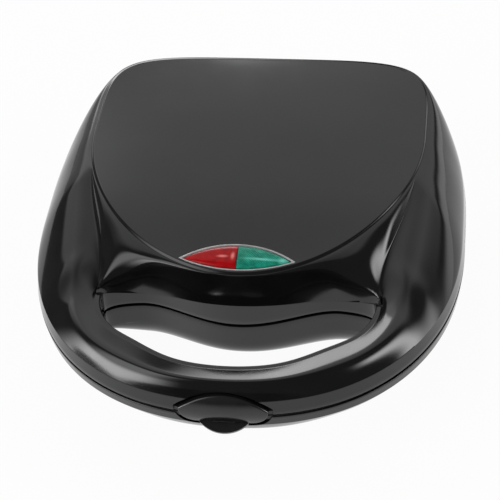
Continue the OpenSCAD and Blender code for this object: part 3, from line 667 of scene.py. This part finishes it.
def soften_valley(bm):
    """Rounds the valley's crease, and more widely the wing's bend from the opening's end to the panel."""
    places = np.array([vert.co for vert in bm.verts])
    plan = places[:, :2] * np.stack([np.sign(places[:, 0]), np.ones(len(places))], -1)
    steps = np.linspace(0, 1, LINE_STEPS)
    line = valley_line(steps)
    off_line = np.min(np.linalg.norm(plan[:, None] - line[None], axis=-1), axis=1)
    end = np.array([GRIP_X, GRIP_Y])
    bend = mix(end, panel_at(GRIP_END[1], -STEP_W), steps[:, None])
    off_bend = np.min(np.linalg.norm(plan[:, None] - bend[None], axis=-1), axis=1)
    off_end = np.linalg.norm(plan - end, axis=-1) - LIP_W
    along = np.maximum(0, PANEL_MID_Y - plan[:, 1]) / (PANEL_FRONT + STEP_W)
    across = plan[:, 0] / (PANEL_HALF + STEP_W)
    size = (across**PANEL_FRONT_POWER + along**PANEL_FRONT_POWER) ** (1 / PANEL_FRONT_POWER)
    off_panel = (size - 1) * PANEL_HALF
    weight = np.maximum(VALLEY_SHARE * ramp(1 - off_line / VALLEY_SOFT), ramp(1 - off_bend / BEND_SOFT))
    weight *= ramp(off_panel / VALLEY_FADE) * ramp(off_end / END_FADE)
    weight[(places[:, 2] < VALLEY_LOW) | in_opening(plan)] = 0
    bm.verts.ensure_lookup_table()
    bm.verts.index_update()
    chosen = np.nonzero(weight > 0)[0]
    nearby = [[edge.other_vert(bm.verts[i]).index for edge in bm.verts[i].link_edges] for i in chosen]
    most = max(len(group) for group in nearby)
    nearby = np.array([group + [i] * (most - len(group)) for i, group in zip(chosen, nearby)])
    for _ in range(VALLEY_PASSES):
        middle = places[nearby].mean(axis=1)
        places[chosen] = mix(places[chosen], middle, VALLEY_PACE * weight[chosen, None])
    for i in chosen:
        bm.verts[i].co = places[i]


def in_opening(plan):
    """Whether places on the right half lie over the grip opening or its lip."""
    x = plan[:, 0] / (GRIP_X + LIP_W)
    y = plan[:, 1] - GRIP_Y
    front = x**2 + (y / (GRIP_FRONT + LIP_W)) ** 2 < 1
    arch = np.sqrt(np.maximum(0, 1 - np.minimum(1, x) ** GRIP_BACK_POWER))
    back = y < (GRIP_BACK + LIP_W) * arch
    return np.where(y < 0, front, back & (x < 1))


def add_shell(bm, patches, flip):
    """Adds the four grids of a moulding and gives the last row of its inside."""
    outside, front_wall, rear_wall, inside = patches
    count = len(outer_angle)
    add_grid(bm, outside, count, True, flip)
    add_grid(bm, front_wall, GRIP_STEPS + 1, False, flip)
    add_grid(bm, rear_wall, GRIP_STEPS + 1, False, flip)
    rows = add_grid(bm, inside, count, True, flip)
    return rows[-1]


def build_lid():
    bm = bmesh.new()
    bm.faces.new(add_shell(bm, lid_patches(), False))
    bmesh.ops.remove_doubles(bm, verts=bm.verts, dist=MERGE_DISTANCE)
    soften_valley(bm)
    lid = object_from(bm, "lid_moulding")
    thicken(lid, WALL)
    window = prism_tool(window_outline(0), CREASE_Z, PANEL_Z + WINDOW_CUT_UP)
    cut(lid, window, recess_tool(), *hinge_tools())
    smooth(lid, SHELL_SHARP)
    settle_panel_normals(lid)
    return lid


def settle_panel_normals(lid):
    """Gives the front of the panel the normals of its own crown, so that the window's cut doesn't show."""
    mesh = lid.data
    normals = [tuple(n.vector) for n in mesh.corner_normals]
    step = 1e-4
    for face in mesh.polygons:
        x, y, z = face.center
        crown_z = panel_height(x, y)
        across = x / (PANEL_HALF - PANEL_MARGIN)
        along = (y - PANEL_MID_Y) / (PANEL_FRONT - PANEL_MARGIN)
        inside = y <= PANEL_MID_Y and across**2 + along**2 < 1
        on_top = face.normal.z >= PANEL_LEVEL and abs(z - crown_z) <= PANEL_NEAR
        if not (inside and on_top):
            continue
        for loop in face.loop_indices:
            px, py, _ = mesh.vertices[mesh.loops[loop].vertex_index].co
            around = np.array([[px - step, py], [px + step, py], [px, py - step], [px, py + step]])
            heights = panel_top(around)
            slope_x = (heights[1] - heights[0]) / (2 * step)
            slope_y = (heights[3] - heights[2]) / (2 * step)
            normals[loop] = tuple(Vector((-slope_x, -slope_y, 1)).normalized())
    mesh.normals_split_custom_set(normals)


def build_base():
    bm = bmesh.new()
    add_shell(bm, base_patches(), True)
    bmesh.ops.remove_doubles(bm, verts=bm.verts, dist=MERGE_DISTANCE)
    base = object_from(bm, "base_moulding")
    thicken(base, WALL)
    low = (-NOTCH_HALF, FRONT_Y - NOTCH_CUT_OUT, HOOK_Z - NOTCH_UNDER)
    notch = box_tool(low, (NOTCH_HALF, FRONT_Y + NOTCH_DEEP, PART_Z))
    cut(base, recess_tool(), notch, *hinge_tools())
    smooth(base, SHELL_SHARP)
    return base


def clip_face(x, z):
    """Place along Y of the clip's outer face, which is round in plan and in section."""
    ring = CLIP_BOW + CLIP_PROUD - CLIP_ROUND + math.sqrt(CLIP_ROUND**2 - (z - CLIP_MID_Z) ** 2)
    return FRONT_Y + CLIP_BOW - math.sqrt(ring**2 - x**2)


def add_round_box(bm, low, high, radius):
    """Box with rounded edges."""
    made = add_box(bm, low, high)
    edges = list({edge for vert in made["verts"] for edge in vert.link_edges})
    bmesh.ops.bevel(bm, geom=edges, offset=radius, segments=3, profile=0.5, affect="EDGES")


def add_tongue(bm):
    """Thumb tongue: a tab with a round front and rounded edges, sloping down from the clip's foot."""
    radius = (TONGUE_X**2 + TONGUE_OUT**2) / (2 * TONGUE_OUT)
    reach = math.asin(min(1, TONGUE_X / radius))
    outline = []
    for k in range(-TONGUE_STEPS, TONGUE_STEPS + 1):
        a = reach * k / TONGUE_STEPS
        outline.append((radius * math.sin(a), radius * (1 - math.cos(a)) - TONGUE_OUT))
    outline += [(TONGUE_X, TONGUE_ROOT), (-TONGUE_X, TONGUE_ROOT)]
    slope = Matrix.Rotation(math.radians(TONGUE_SLOPE), 4, "X")
    turn = Matrix.Translation((0, FRONT_Y + CLIP_PROUD, TONGUE_Z)) @ slope
    rings = [[bm.verts.new(turn @ Vector((x, y, z))) for x, y in outline] for z in (-TONGUE_T, 0)]
    add_ring_faces(bm, rings[0], rings[1])
    top = bm.faces.new(rings[1])
    bottom = bm.faces.new(rings[0][::-1])
    edges = list({edge for face in (top, bottom) for edge in face.edges})
    bmesh.ops.bevel(bm, geom=edges, offset=TONGUE_ROUND, segments=4, profile=0.5, affect="EDGES")


def add_knuckle(bm):
    """Barrel of the clip on its pin."""
    rings = []
    turns = [2 * math.pi * i / KNUCKLE_STEPS for i in range(KNUCKLE_STEPS)]
    left = (-LATCH_HALF, KNUCKLE_BORE_R), (-LATCH_HALF, KNUCKLE_R)
    right = (LATCH_HALF, KNUCKLE_R), (LATCH_HALF, KNUCKLE_BORE_R)
    for x, r in left + right:
        rings.append([bm.verts.new((x, LATCH_Y + r * math.cos(a), LATCH_Z + r * math.sin(a))) for a in turns])
    for first, second in zip(rings, rings[1:] + rings[:1]):
        add_ring_faces(bm, first, second)


def build_clip():
    """Latch clip: a bowed cover with a rounded edge, its tongue, its barrel on a web, and its hook."""
    bm = bmesh.new()
    faces = []
    for d in CLIP_EDGE_ROWS:
        inset = d * CLIP_EDGE
        fall = CLIP_EDGE * (1 - math.sqrt(1 - (1 - min(1, d)) ** 2))
        faces.append([bm.verts.new((x, clip_face(x, z) + fall, z)) for x, z in clip_outline(-inset)])
    shape = clip_outline(-CLIP_EDGE_ROWS[-1] * CLIP_EDGE)
    for k in CLIP_FACE_ROWS:
        ring = [(x * k, mix(CLIP_Z, z, k)) for x, z in shape]
        faces.append([bm.verts.new((x, clip_face(x, z), z)) for x, z in ring])
    backs = []
    for k in (1, *CLIP_FACE_ROWS):
        ring = [(x * k, mix(CLIP_Z, z, k)) for x, z in clip_outline(0)]
        backs.append([bm.verts.new((x, clip_face(x, z) + CLIP_T, z)) for x, z in ring])
    rings = faces[::-1] + backs
    for first, second in zip(rings, rings[1:]):
        add_ring_faces(bm, first, second)
    bm.faces.new(faces[-1])
    bm.faces.new(backs[-1])
    add_tongue(bm)
    add_knuckle(bm)
    inside = FRONT_Y - CLIP_PROUD + CLIP_T
    low = (-LATCH_HALF, inside - CLIP_SINK, LATCH_Z - KNUCKLE_R)
    high = (LATCH_HALF, LATCH_Y - WEB_SHORT, LATCH_Z - KNUCKLE_R + LATCH_WEB)
    add_round_box(bm, low, high, WEB_ROUND)
    low = (-HOOK_HALF, inside - CLIP_SINK, HOOK_Z - HOOK_T)
    high = (HOOK_HALF, HOOK_BACK, HOOK_Z)
    add_round_box(bm, low, high, HOOK_ROUND)
    bmesh.ops.recalc_face_normals(bm, faces=bm.faces)
    clip = object_from(bm, "latch_cover")
    smooth(clip, SMALL_SHARP)
    return clip


# Indicator window
def window_span(x, inset):
    """Front and rear ends along Y of the window at a place across it, inside its edge by an inset."""
    ends = []
    for rise, sign in ((WINDOW_FRONT - inset, -1), (WINDOW_REAR - inset, 1)):
        half = WINDOW_X - 2 * inset
        radius = (half**2 + rise**2) / (2 * rise)
        ends.append(WINDOW_Y + sign * (math.sqrt(radius**2 - x**2) - radius + rise))
    return ends


def lens_top(x, w, inset):
    """Place and height of the domed window, across it by x and along it by w from -1 to 1."""
    front, rear = window_span(x, inset)
    y = mix(front, rear, (w + 1) / 2)
    share = (rear - front) / (WINDOW_FRONT + WINDOW_REAR)
    return y, panel_height(x, y) + LENS_RISE * share * (1 - w**LENS_ROUND)


def zigzag(value):
    return abs(value % 1 - 0.5) * 2


def build_lens(name, side, prism):
    """Half of the window, with fine diamond prisms in its face where they're asked for."""
    bm = bmesh.new()
    half = WINDOW_X - 2 * LENS_GAP
    top = []
    for i in range(LENS_COLUMNS + 1):
        x = side * mix(LENS_RIB, half * LENS_TIP, i / LENS_COLUMNS)
        line = []
        for j in range(LENS_ROWS + 1):
            w = 2 * j / LENS_ROWS - 1
            y, z = lens_top(x, w, LENS_GAP)
            if prism:
                edge = min(1, PRISM_FADE * (1 - abs(w)))
                cells = zigzag((x + y) / PRISM_CELL) + zigzag((x - y) / PRISM_CELL)
                z -= PRISM_DEEP * edge * (1 - cells / 2)
            line.append(bm.verts.new((x, y, z)))
        top.append(line)
    for first, second in zip(top, top[1:]):
        for j in range(LENS_ROWS):
            bm.faces.new([first[j], second[j], second[j + 1], first[j + 1]])
    front_edge = [line[0] for line in top]
    tip = top[-1][1:]
    rear_edge = [line[-1] for line in top[:-1]][::-1]
    middle = top[0][1:-1][::-1]
    loop = front_edge + tip + rear_edge + middle
    low = [bm.verts.new((v.co.x, v.co.y, PANEL_Z - PANEL_DIP - LENS_DEEP)) for v in loop]
    add_ring_faces(bm, loop, low)
    bm.faces.new(low[::-1])
    bmesh.ops.recalc_face_normals(bm, faces=bm.faces)
    lens = object_from(bm, name)
    smooth(lens, PRISM_SHARP if prism else SMALL_SHARP)
    return lens


# Section of the window's edge, as shares of its width and heights over the panel
BEZEL_SECTION = [(1, -0.0004), (1, 0.00002), (0.85, 0.00012), (0.5, 0.00016), (0.15, 0.00012), (0, 0.00002),
                 (0, -0.0016), (0.4, -0.0016), (0.4, -0.0004)]


def build_bezel():
    """Edge that frames the window, pale grey as a painted highlight along the window's rim."""
    bm = bmesh.new()
    rings = []
    for share, rise in BEZEL_SECTION:
        ring = window_outline(BEZEL_W * share - BEZEL_LAP)
        rings.append([bm.verts.new((x, y, panel_height(x, y) + rise)) for x, y in ring])
    for first, second in zip(rings, rings[1:] + rings[:1]):
        add_ring_faces(bm, first, second)
    bmesh.ops.recalc_face_normals(bm, faces=bm.faces)
    bezel = object_from(bm, "lens_bezel")
    smooth(bezel, BEZEL_SHARP)
    return bezel


def build_rib():
    """Dark rib between the two halves of the window."""
    bm = bmesh.new()
    rings = []
    half = LENS_RIB - RIB_GAP
    for j in range(RIB_ROWS + 1):
        y, z = lens_top(0, 2 * j / RIB_ROWS - 1, LENS_GAP)
        z -= RIB_DROP
        low = z - LENS_DEEP / 2
        shoulder = z - RIB_ROUND
        left = [(-half, low), (-half, shoulder), (-half / 2, z)]
        right = [(half / 2, z), (half, shoulder), (half, low)]
        rings.append([bm.verts.new((x, y, height)) for x, height in left + right])
    for first, second in zip(rings, rings[1:]):
        add_ring_faces(bm, first, second)
    bm.faces.new(rings[0])
    bm.faces.new(rings[-1])
    bmesh.ops.recalc_face_normals(bm, faces=bm.faces)
    rib = object_from(bm, "lens_rib")
    smooth(rib, SMALL_SHARP)
    return rib


# Materials: spans of a noise that carry the roughness and the tones, and a finer scale for the roughness
ROUGH_SPAN = (0.3, 0.7)
TONE_SPAN = (0.35, 0.65)
ROUGH_SCALE = 1.7
LENS_SHINE = 0.2


def material(name):
    """A new material, its node tree and its shader."""
    mat = bpy.data.materials.new(name)
    mat.use_nodes = True
    tree = mat.node_tree
    return mat, tree, tree.nodes["Principled BSDF"]


def noise(tree, scale, detail=3):
    place = tree.nodes.new("ShaderNodeTexCoord")
    texture = tree.nodes.new("ShaderNodeTexNoise")
    texture.inputs["Scale"].default_value = scale
    texture.inputs["Detail"].default_value = detail
    tree.links.new(place.outputs["Object"], texture.inputs["Vector"])
    return texture.outputs["Fac"]


def spread(tree, value, low, high):
    """A map of a noise to the range low to high."""
    node = tree.nodes.new("ShaderNodeMapRange")
    node.inputs["From Min"].default_value = ROUGH_SPAN[0]
    node.inputs["From Max"].default_value = ROUGH_SPAN[1]
    node.inputs["To Min"].default_value = low
    node.inputs["To Max"].default_value = high
    tree.links.new(value, node.inputs["Value"])
    return node.outputs["Result"]


def two_tone(tree, value, first, second):
    node = tree.nodes.new("ShaderNodeValToRGB")
    for stop, place, colour in zip(node.color_ramp.elements, TONE_SPAN, (first, second)):
        stop.position = place
        stop.color = (*colour, 1)
    tree.links.new(value, node.inputs["Fac"])
    return node.outputs["Color"]


def grain(tree, shader, value, depth):
    node = tree.nodes.new("ShaderNodeBump")
    node.inputs["Distance"].default_value = depth
    tree.links.new(value, node.inputs["Height"])
    tree.links.new(node.outputs["Normal"], shader.inputs["Normal"])


def surface(name, first, second, tone_scale, rough, grain_scale, grain_depth, metallic=0.0):
    """Material with two mottled tones, a roughness range and a fine grain."""
    mat, tree, shader = material(name)
    mottle = noise(tree, tone_scale)
    tree.links.new(two_tone(tree, mottle, first, second), shader.inputs["Base Color"])
    tree.links.new(spread(tree, noise(tree, tone_scale * ROUGH_SCALE), *rough), shader.inputs["Roughness"])
    grain(tree, shader, noise(tree, grain_scale, 2), grain_depth)
    shader.inputs["Metallic"].default_value = metallic
    return mat


gloss_black = surface("gloss_black", (0.004, 0.004, 0.0042), (0.006, 0.006, 0.0063),
                      40, (0.09, 0.13), 900, 2e-6)
satin_black = surface("satin_black", (0.007, 0.007, 0.0073), (0.010, 0.010, 0.0104),
                      60, (0.19, 0.25), 2600, 6e-6)
frame_black = surface("frame_black", (0.012, 0.012, 0.012), (0.018, 0.018, 0.018),
                      80, (0.42, 0.55), 3200, 2e-5)
rubber = surface("foot_rubber", (0.016, 0.016, 0.016), (0.026, 0.026, 0.026),
                 90, (0.7, 0.85), 2400, 3e-5)
coating = surface("plate_coating", (0.024, 0.024, 0.026), (0.036, 0.036, 0.038),
                  700, (0.30, 0.42), 5200, 1.2e-5)
steel = surface("steel", (0.50, 0.50, 0.52), (0.60, 0.60, 0.61),
                300, (0.24, 0.36), 4000, 4e-6, 1.0)
sheet_metal = surface("sheet_metal", (0.66, 0.67, 0.68), (0.74, 0.75, 0.76),
                      120, (0.30, 0.44), 1500, 1e-5, 1.0)
ceramic = surface("ceramic", (0.66, 0.62, 0.52), (0.74, 0.70, 0.60),
                  180, (0.40, 0.55), 2200, 1.5e-5)
lamp_glass = surface("lamp_glass", (0.62, 0.56, 0.52), (0.72, 0.66, 0.62),
                     200, (0.06, 0.12), 800, 2e-6)
# Pale grey of the window's edge: a painted highlight along its rim
painted_rim_highlight = surface("painted_rim_highlight", (0.36, 0.35, 0.35), (0.44, 0.43, 0.43),
                    300, (0.18, 0.28), 1500, 3e-6)


def highlight_spot(tree, x, y, half_x, half_y):
    """Mask of a painted highlight: 1 at a place in plan, falling to 0 over an oval."""
    place = tree.nodes.new("ShaderNodeTexCoord")
    vector = place.outputs["Object"]
    for operation, value in (("SUBTRACT", (x, y, 0)), ("MULTIPLY", (1 / half_x, 1 / half_y, 0))):
        node = tree.nodes.new("ShaderNodeVectorMath")
        node.operation = operation
        node.inputs[1].default_value = value
        tree.links.new(vector, node.inputs[0])
        vector = node.outputs["Vector"]
    length = tree.nodes.new("ShaderNodeVectorMath")
    length.operation = "LENGTH"
    tree.links.new(vector, length.inputs[0])
    fall = tree.nodes.new("ShaderNodeMapRange")
    fall.interpolation_type = "SMOOTHSTEP"
    fall.inputs["To Min"].default_value = 1
    fall.inputs["To Max"].default_value = 0
    tree.links.new(length.outputs["Value"], fall.inputs["Value"])
    return fall.outputs["Result"]


def lens_material(name, first, second, light, painted_highlights):
    """Coloured plastic with highlights and reflections painted into its colour as paler places."""
    mat = surface(name, first, second, 260, (0.07, 0.12), 700, 2e-6)
    tree = mat.node_tree
    shader = tree.nodes["Principled BSDF"]
    shader.inputs["Specular IOR Level"].default_value = LENS_SHINE
    colour = shader.inputs["Base Color"].links[0].from_socket
    # The mix node takes colours at its inputs 6 and 7 and gives one at its output 2
    # Each pass paints a highlight into the base colour as a paler oval
    for sizes in painted_highlights:
        blend = tree.nodes.new("ShaderNodeMix")
        blend.data_type = "RGBA"
        tree.links.new(highlight_spot(tree, *sizes), blend.inputs["Factor"])
        tree.links.new(colour, blend.inputs[6])
        blend.inputs[7].default_value = (*light, 1)
        colour = blend.outputs[2]
    tree.links.new(colour, shader.inputs["Base Color"])
    return mat


# Each painted highlight has its x and y in plan and its half widths along them; the pale colour before the
# list is the painted highlights' colour
red_glass = lens_material("red_glass", (0.28, 0.002, 0.004), (0.40, 0.004, 0.006), (0.85, 0.22, 0.20),
                          [(-0.0075, -0.0444, 0.0042, 0.0013), (-0.0022, -0.0440, 0.0016, 0.0034)])
green_glass = lens_material("green_glass", (0.003, 0.17, 0.11), (0.01, 0.30, 0.20), (0.16, 0.62, 0.50),
                            [(0.013, -0.0452, 0.014, 0.0013), (0.0235, -0.0450, 0.004, 0.0024)])


def dress(obj, finish):
    """Gives an object one material and no other."""
    obj.data.materials.clear()
    obj.data.materials.append(finish)


# Pieces built here, each on its body
lid = build_lid()
dress(lid, gloss_black)
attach(lid, "lid")
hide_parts("lid_shell")

base = build_base()
dress(base, gloss_black)
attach(base, "base")
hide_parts("base_shell")

clip = build_clip()
dress(clip, satin_black)
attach(clip, "latch")
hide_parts("latch_clip")

for side, name, prism, finish in ((-1, "red", False, red_glass), (1, "green", True, green_glass)):
    lens = build_lens(name + "_window", side, prism)
    dress(lens, finish)
    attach(lens, "lid")
    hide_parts(name + "_lens")

bezel = build_bezel()
# The bezel's pale grey is a painted highlight along the window's rim
dress(bezel, painted_rim_highlight)
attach(bezel, "lid")

rib = build_rib()
dress(rib, frame_black)
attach(rib, "lid")

# Finishes of the CAD nodes that stay
finishes = {
    frame_black: ["upper_frame", "lower_frame", "bottom_cover", "cord_gland"],
    coating: ["upper_plate", "lower_plate"],
    steel: ["upper_heater", "lower_heater", "upper_plate_screws", "lower_plate_screws", "cover_screws",
            "hinge_pin_left", "hinge_pin_right", "latch_pin"],
    sheet_metal: ["upper_reflector", "lower_reflector"],
    ceramic: ["thermostat", "thermal_fuse", "terminal_block", "lamp_holder"],
    lamp_glass: ["red_lamp", "green_lamp"],
    rubber: ["foot_front_left", "foot_front_right", "foot_rear_left", "foot_rear_right"],
}
for finish, names in finishes.items():
    for name in names:
        dress(nodes[name], finish)


# Stage: floor, surroundings and camera
STAGE_R = 6
STAGE_DROP = 0.0002
STAGE_WHITE = 0.9
STAGE_ROUGH = 0.9
STAGE_GLOW = 0.95
STAGE_DARK_Y = -0.42
STAGE_LIGHT_Y = -0.20


def make_floor():
    """White floor that the camera sees bright, and that keeps a soft shadow."""
    bm = bmesh.new()
    bmesh.ops.create_circle(bm, cap_ends=True, radius=STAGE_R, segments=96)
    floor = object_from(bm, "floor")
    floor.location.z = -STAGE_DROP
    mat, tree, shader = material("floor_white")
    shader.inputs["Base Color"].default_value = (STAGE_WHITE, STAGE_WHITE, STAGE_WHITE, 1)
    shader.inputs["Roughness"].default_value = STAGE_ROUGH
    shader.inputs["Specular IOR Level"].default_value = 0
    glow = tree.nodes.new("ShaderNodeEmission")
    tree.links.new(floor_light(tree), glow.inputs["Strength"])
    blend = tree.nodes.new("ShaderNodeMixShader")
    share = tree.nodes.new("ShaderNodeMath")
    share.operation = "MULTIPLY"
    share.inputs[1].default_value = STAGE_GLOW
    tree.links.new(seen_rays(tree), share.inputs[0])
    tree.links.new(share.outputs[0], blend.inputs[0])
    tree.links.new(shader.outputs[0], blend.inputs[1])
    tree.links.new(glow.outputs[0], blend.inputs[2])
    tree.links.new(blend.outputs[0], tree.nodes["Material Output"].inputs[0])
    floor.data.materials.append(mat)


def floor_light(tree):
    """Full light for the camera, and for other rays a floor that goes dark some way in front."""
    place = tree.nodes.new("ShaderNodeNewGeometry")
    split = tree.nodes.new("ShaderNodeSeparateXYZ")
    near = tree.nodes.new("ShaderNodeMapRange")
    path = tree.nodes.new("ShaderNodeLightPath")
    total = tree.nodes.new("ShaderNodeMath")
    near.interpolation_type = "SMOOTHSTEP"
    near.inputs["From Min"].default_value = STAGE_DARK_Y
    near.inputs["From Max"].default_value = STAGE_LIGHT_Y
    total.operation = "MAXIMUM"
    tree.links.new(place.outputs["Position"], split.inputs[0])
    tree.links.new(split.outputs["Y"], near.inputs["Value"])
    tree.links.new(near.outputs["Result"], total.inputs[0])
    tree.links.new(path.outputs["Is Camera Ray"], total.inputs[1])
    return total.outputs[0]


def seen_rays(tree):
    """1 for camera, glossy and transmission rays."""
    path = tree.nodes.new("ShaderNodeLightPath")
    total = path.outputs["Is Camera Ray"]
    for name in ("Is Glossy Ray", "Is Transmission Ray"):
        node = tree.nodes.new("ShaderNodeMath")
        node.operation = "MAXIMUM"
        tree.links.new(total, node.inputs[0])
        tree.links.new(path.outputs[name], node.inputs[1])
        total = node.outputs[0]
    return total


ROOM_LIGHT = 0.12

# Panels of light, in degrees: azimuth from +X, half width, softness of the sides, lower edge, upper edge and
# the softness of each of the two, and then the strength
LIGHT_PANELS = [
    (95, 65, 24, 25, 75, 6, 50, 0.85),
    (112, 14, 5, 10, 26, 6, 4, 5.0),
    (-150, 24, 30, -4, 15, 4, 14, 8.0),
    (-9, 22, 22, 16, 28, 8, 12, 8.0),
    (45, 25, 20, 0, 15, 4, 10, 1.5),
    (128, 14, 10, 0, 45, 4, 20, 0.5),
    (-145, 20, 24, 18, 56, 10, 16, 2.6),
]


def make_world():
    """Dim room with soft panels of light, which the camera sees as plain white."""
    world = bpy.data.worlds.new("studio")
    bpy.context.scene.world = world
    world.use_nodes = True
    tree = world.node_tree
    links = tree.links
    place = tree.nodes.new("ShaderNodeTexCoord")
    split = tree.nodes.new("ShaderNodeSeparateXYZ")
    links.new(place.outputs["Generated"], split.inputs[0])

    def sums(operation, a, b=None):
        node = tree.nodes.new("ShaderNodeMath")
        node.operation = operation
        for socket, value in zip(node.inputs, (a, b)):
            if isinstance(value, (int, float)):
                socket.default_value = value
            elif value is not None:
                links.new(value, socket)
        return node.outputs[0]

    def fade(value, first, last, low, high):
        node = tree.nodes.new("ShaderNodeMapRange")
        node.interpolation_type = "SMOOTHSTEP"
        for key, number in zip(("From Min", "From Max", "To Min", "To Max"), (first, last, low, high)):
            node.inputs[key].default_value = number
        links.new(value, node.inputs["Value"])
        return node.outputs["Result"]

    height = sums("DEGREES", sums("ARCSINE", split.outputs["Z"]))

    def panel(azimuth, half, side_soft, low, high, low_soft, high_soft, strength):
        turn = math.radians(90 - azimuth)
        x = sums("MULTIPLY", split.outputs["X"], math.cos(turn))
        y = sums("MULTIPLY", split.outputs["Y"], math.sin(turn))
        across = sums("SUBTRACT", x, y)
        x = sums("MULTIPLY", split.outputs["X"], math.sin(turn))
        y = sums("MULTIPLY", split.outputs["Y"], math.cos(turn))
        along = sums("ADD", x, y)
        off = sums("ABSOLUTE", sums("DEGREES", sums("ARCTAN2", across, along)))
        side = fade(off, half - side_soft / 2, half + side_soft / 2, strength, 0)
        lower = fade(height, low - low_soft / 2, low + low_soft / 2, 0, 1)
        upper = fade(height, high - high_soft / 2, high + high_soft / 2, 1, 0)
        return sums("MULTIPLY", side, sums("MULTIPLY", lower, upper))

    light = sums("ADD", panel(*LIGHT_PANELS[0]), ROOM_LIGHT)
    for sizes in LIGHT_PANELS[1:]:
        light = sums("ADD", light, panel(*sizes))
    path = tree.nodes.new("ShaderNodeLightPath")
    shown = tree.nodes.new("ShaderNodeMixShader")
    backdrop = tree.nodes["Background"]
    backdrop.inputs["Color"].default_value = (1, 1, 1, 1)
    links.new(light, backdrop.inputs["Strength"])
    white = tree.nodes.new("ShaderNodeBackground")
    white.inputs["Color"].default_value = (1, 1, 1, 1)
    links.new(path.outputs["Is Camera Ray"], shown.inputs[0])
    links.new(backdrop.outputs[0], shown.inputs[1])
    links.new(white.outputs[0], shown.inputs[2])
    links.new(shown.outputs[0], tree.nodes["World Output"].inputs[0])


# Camera fitted to the photo, with its angles in degrees and its focal length in the photo's pixels
CAMERA_AZIMUTH = 10.73
CAMERA_ELEVATION = 45.0
CAMERA_ROLL = -5.5
CAMERA_TARGET = (0.00025, -0.0081, 0.045)
CAMERA_AWAY = 0.9
FOCAL_PIXELS = 1670.6
PHOTO_PIXELS = 500
SENSOR_MM = 36


def make_camera():
    azimuth = math.radians(CAMERA_AZIMUTH)
    elevation = math.radians(CAMERA_ELEVATION)
    roll = math.radians(CAMERA_ROLL)
    target = Vector(CAMERA_TARGET)
    level = math.cos(elevation)
    back = Vector((math.sin(azimuth) * level, -math.cos(azimuth) * level, math.sin(elevation)))
    right = (-back).cross(Vector((0, 0, 1))).normalized()
    up = right.cross(-back)
    across = math.cos(roll) * right + math.sin(roll) * up
    upward = -math.sin(roll) * right + math.cos(roll) * up
    data = bpy.data.cameras.new("camera")
    data.sensor_width = SENSOR_MM
    data.lens = SENSOR_MM * FOCAL_PIXELS / PHOTO_PIXELS
    data.clip_start = 0.01
    data.clip_end = 50
    camera = bpy.data.objects.new("camera", data)
    turn = Matrix((across, upward, back)).transposed().to_4x4()
    camera.matrix_world = Matrix.Translation(target + back * CAMERA_AWAY) @ turn
    bpy.context.scene.collection.objects.link(camera)
    bpy.context.scene.camera = camera


make_floor()
make_world()
make_camera()
bpy.context.scene.view_settings.view_transform = "Standard"
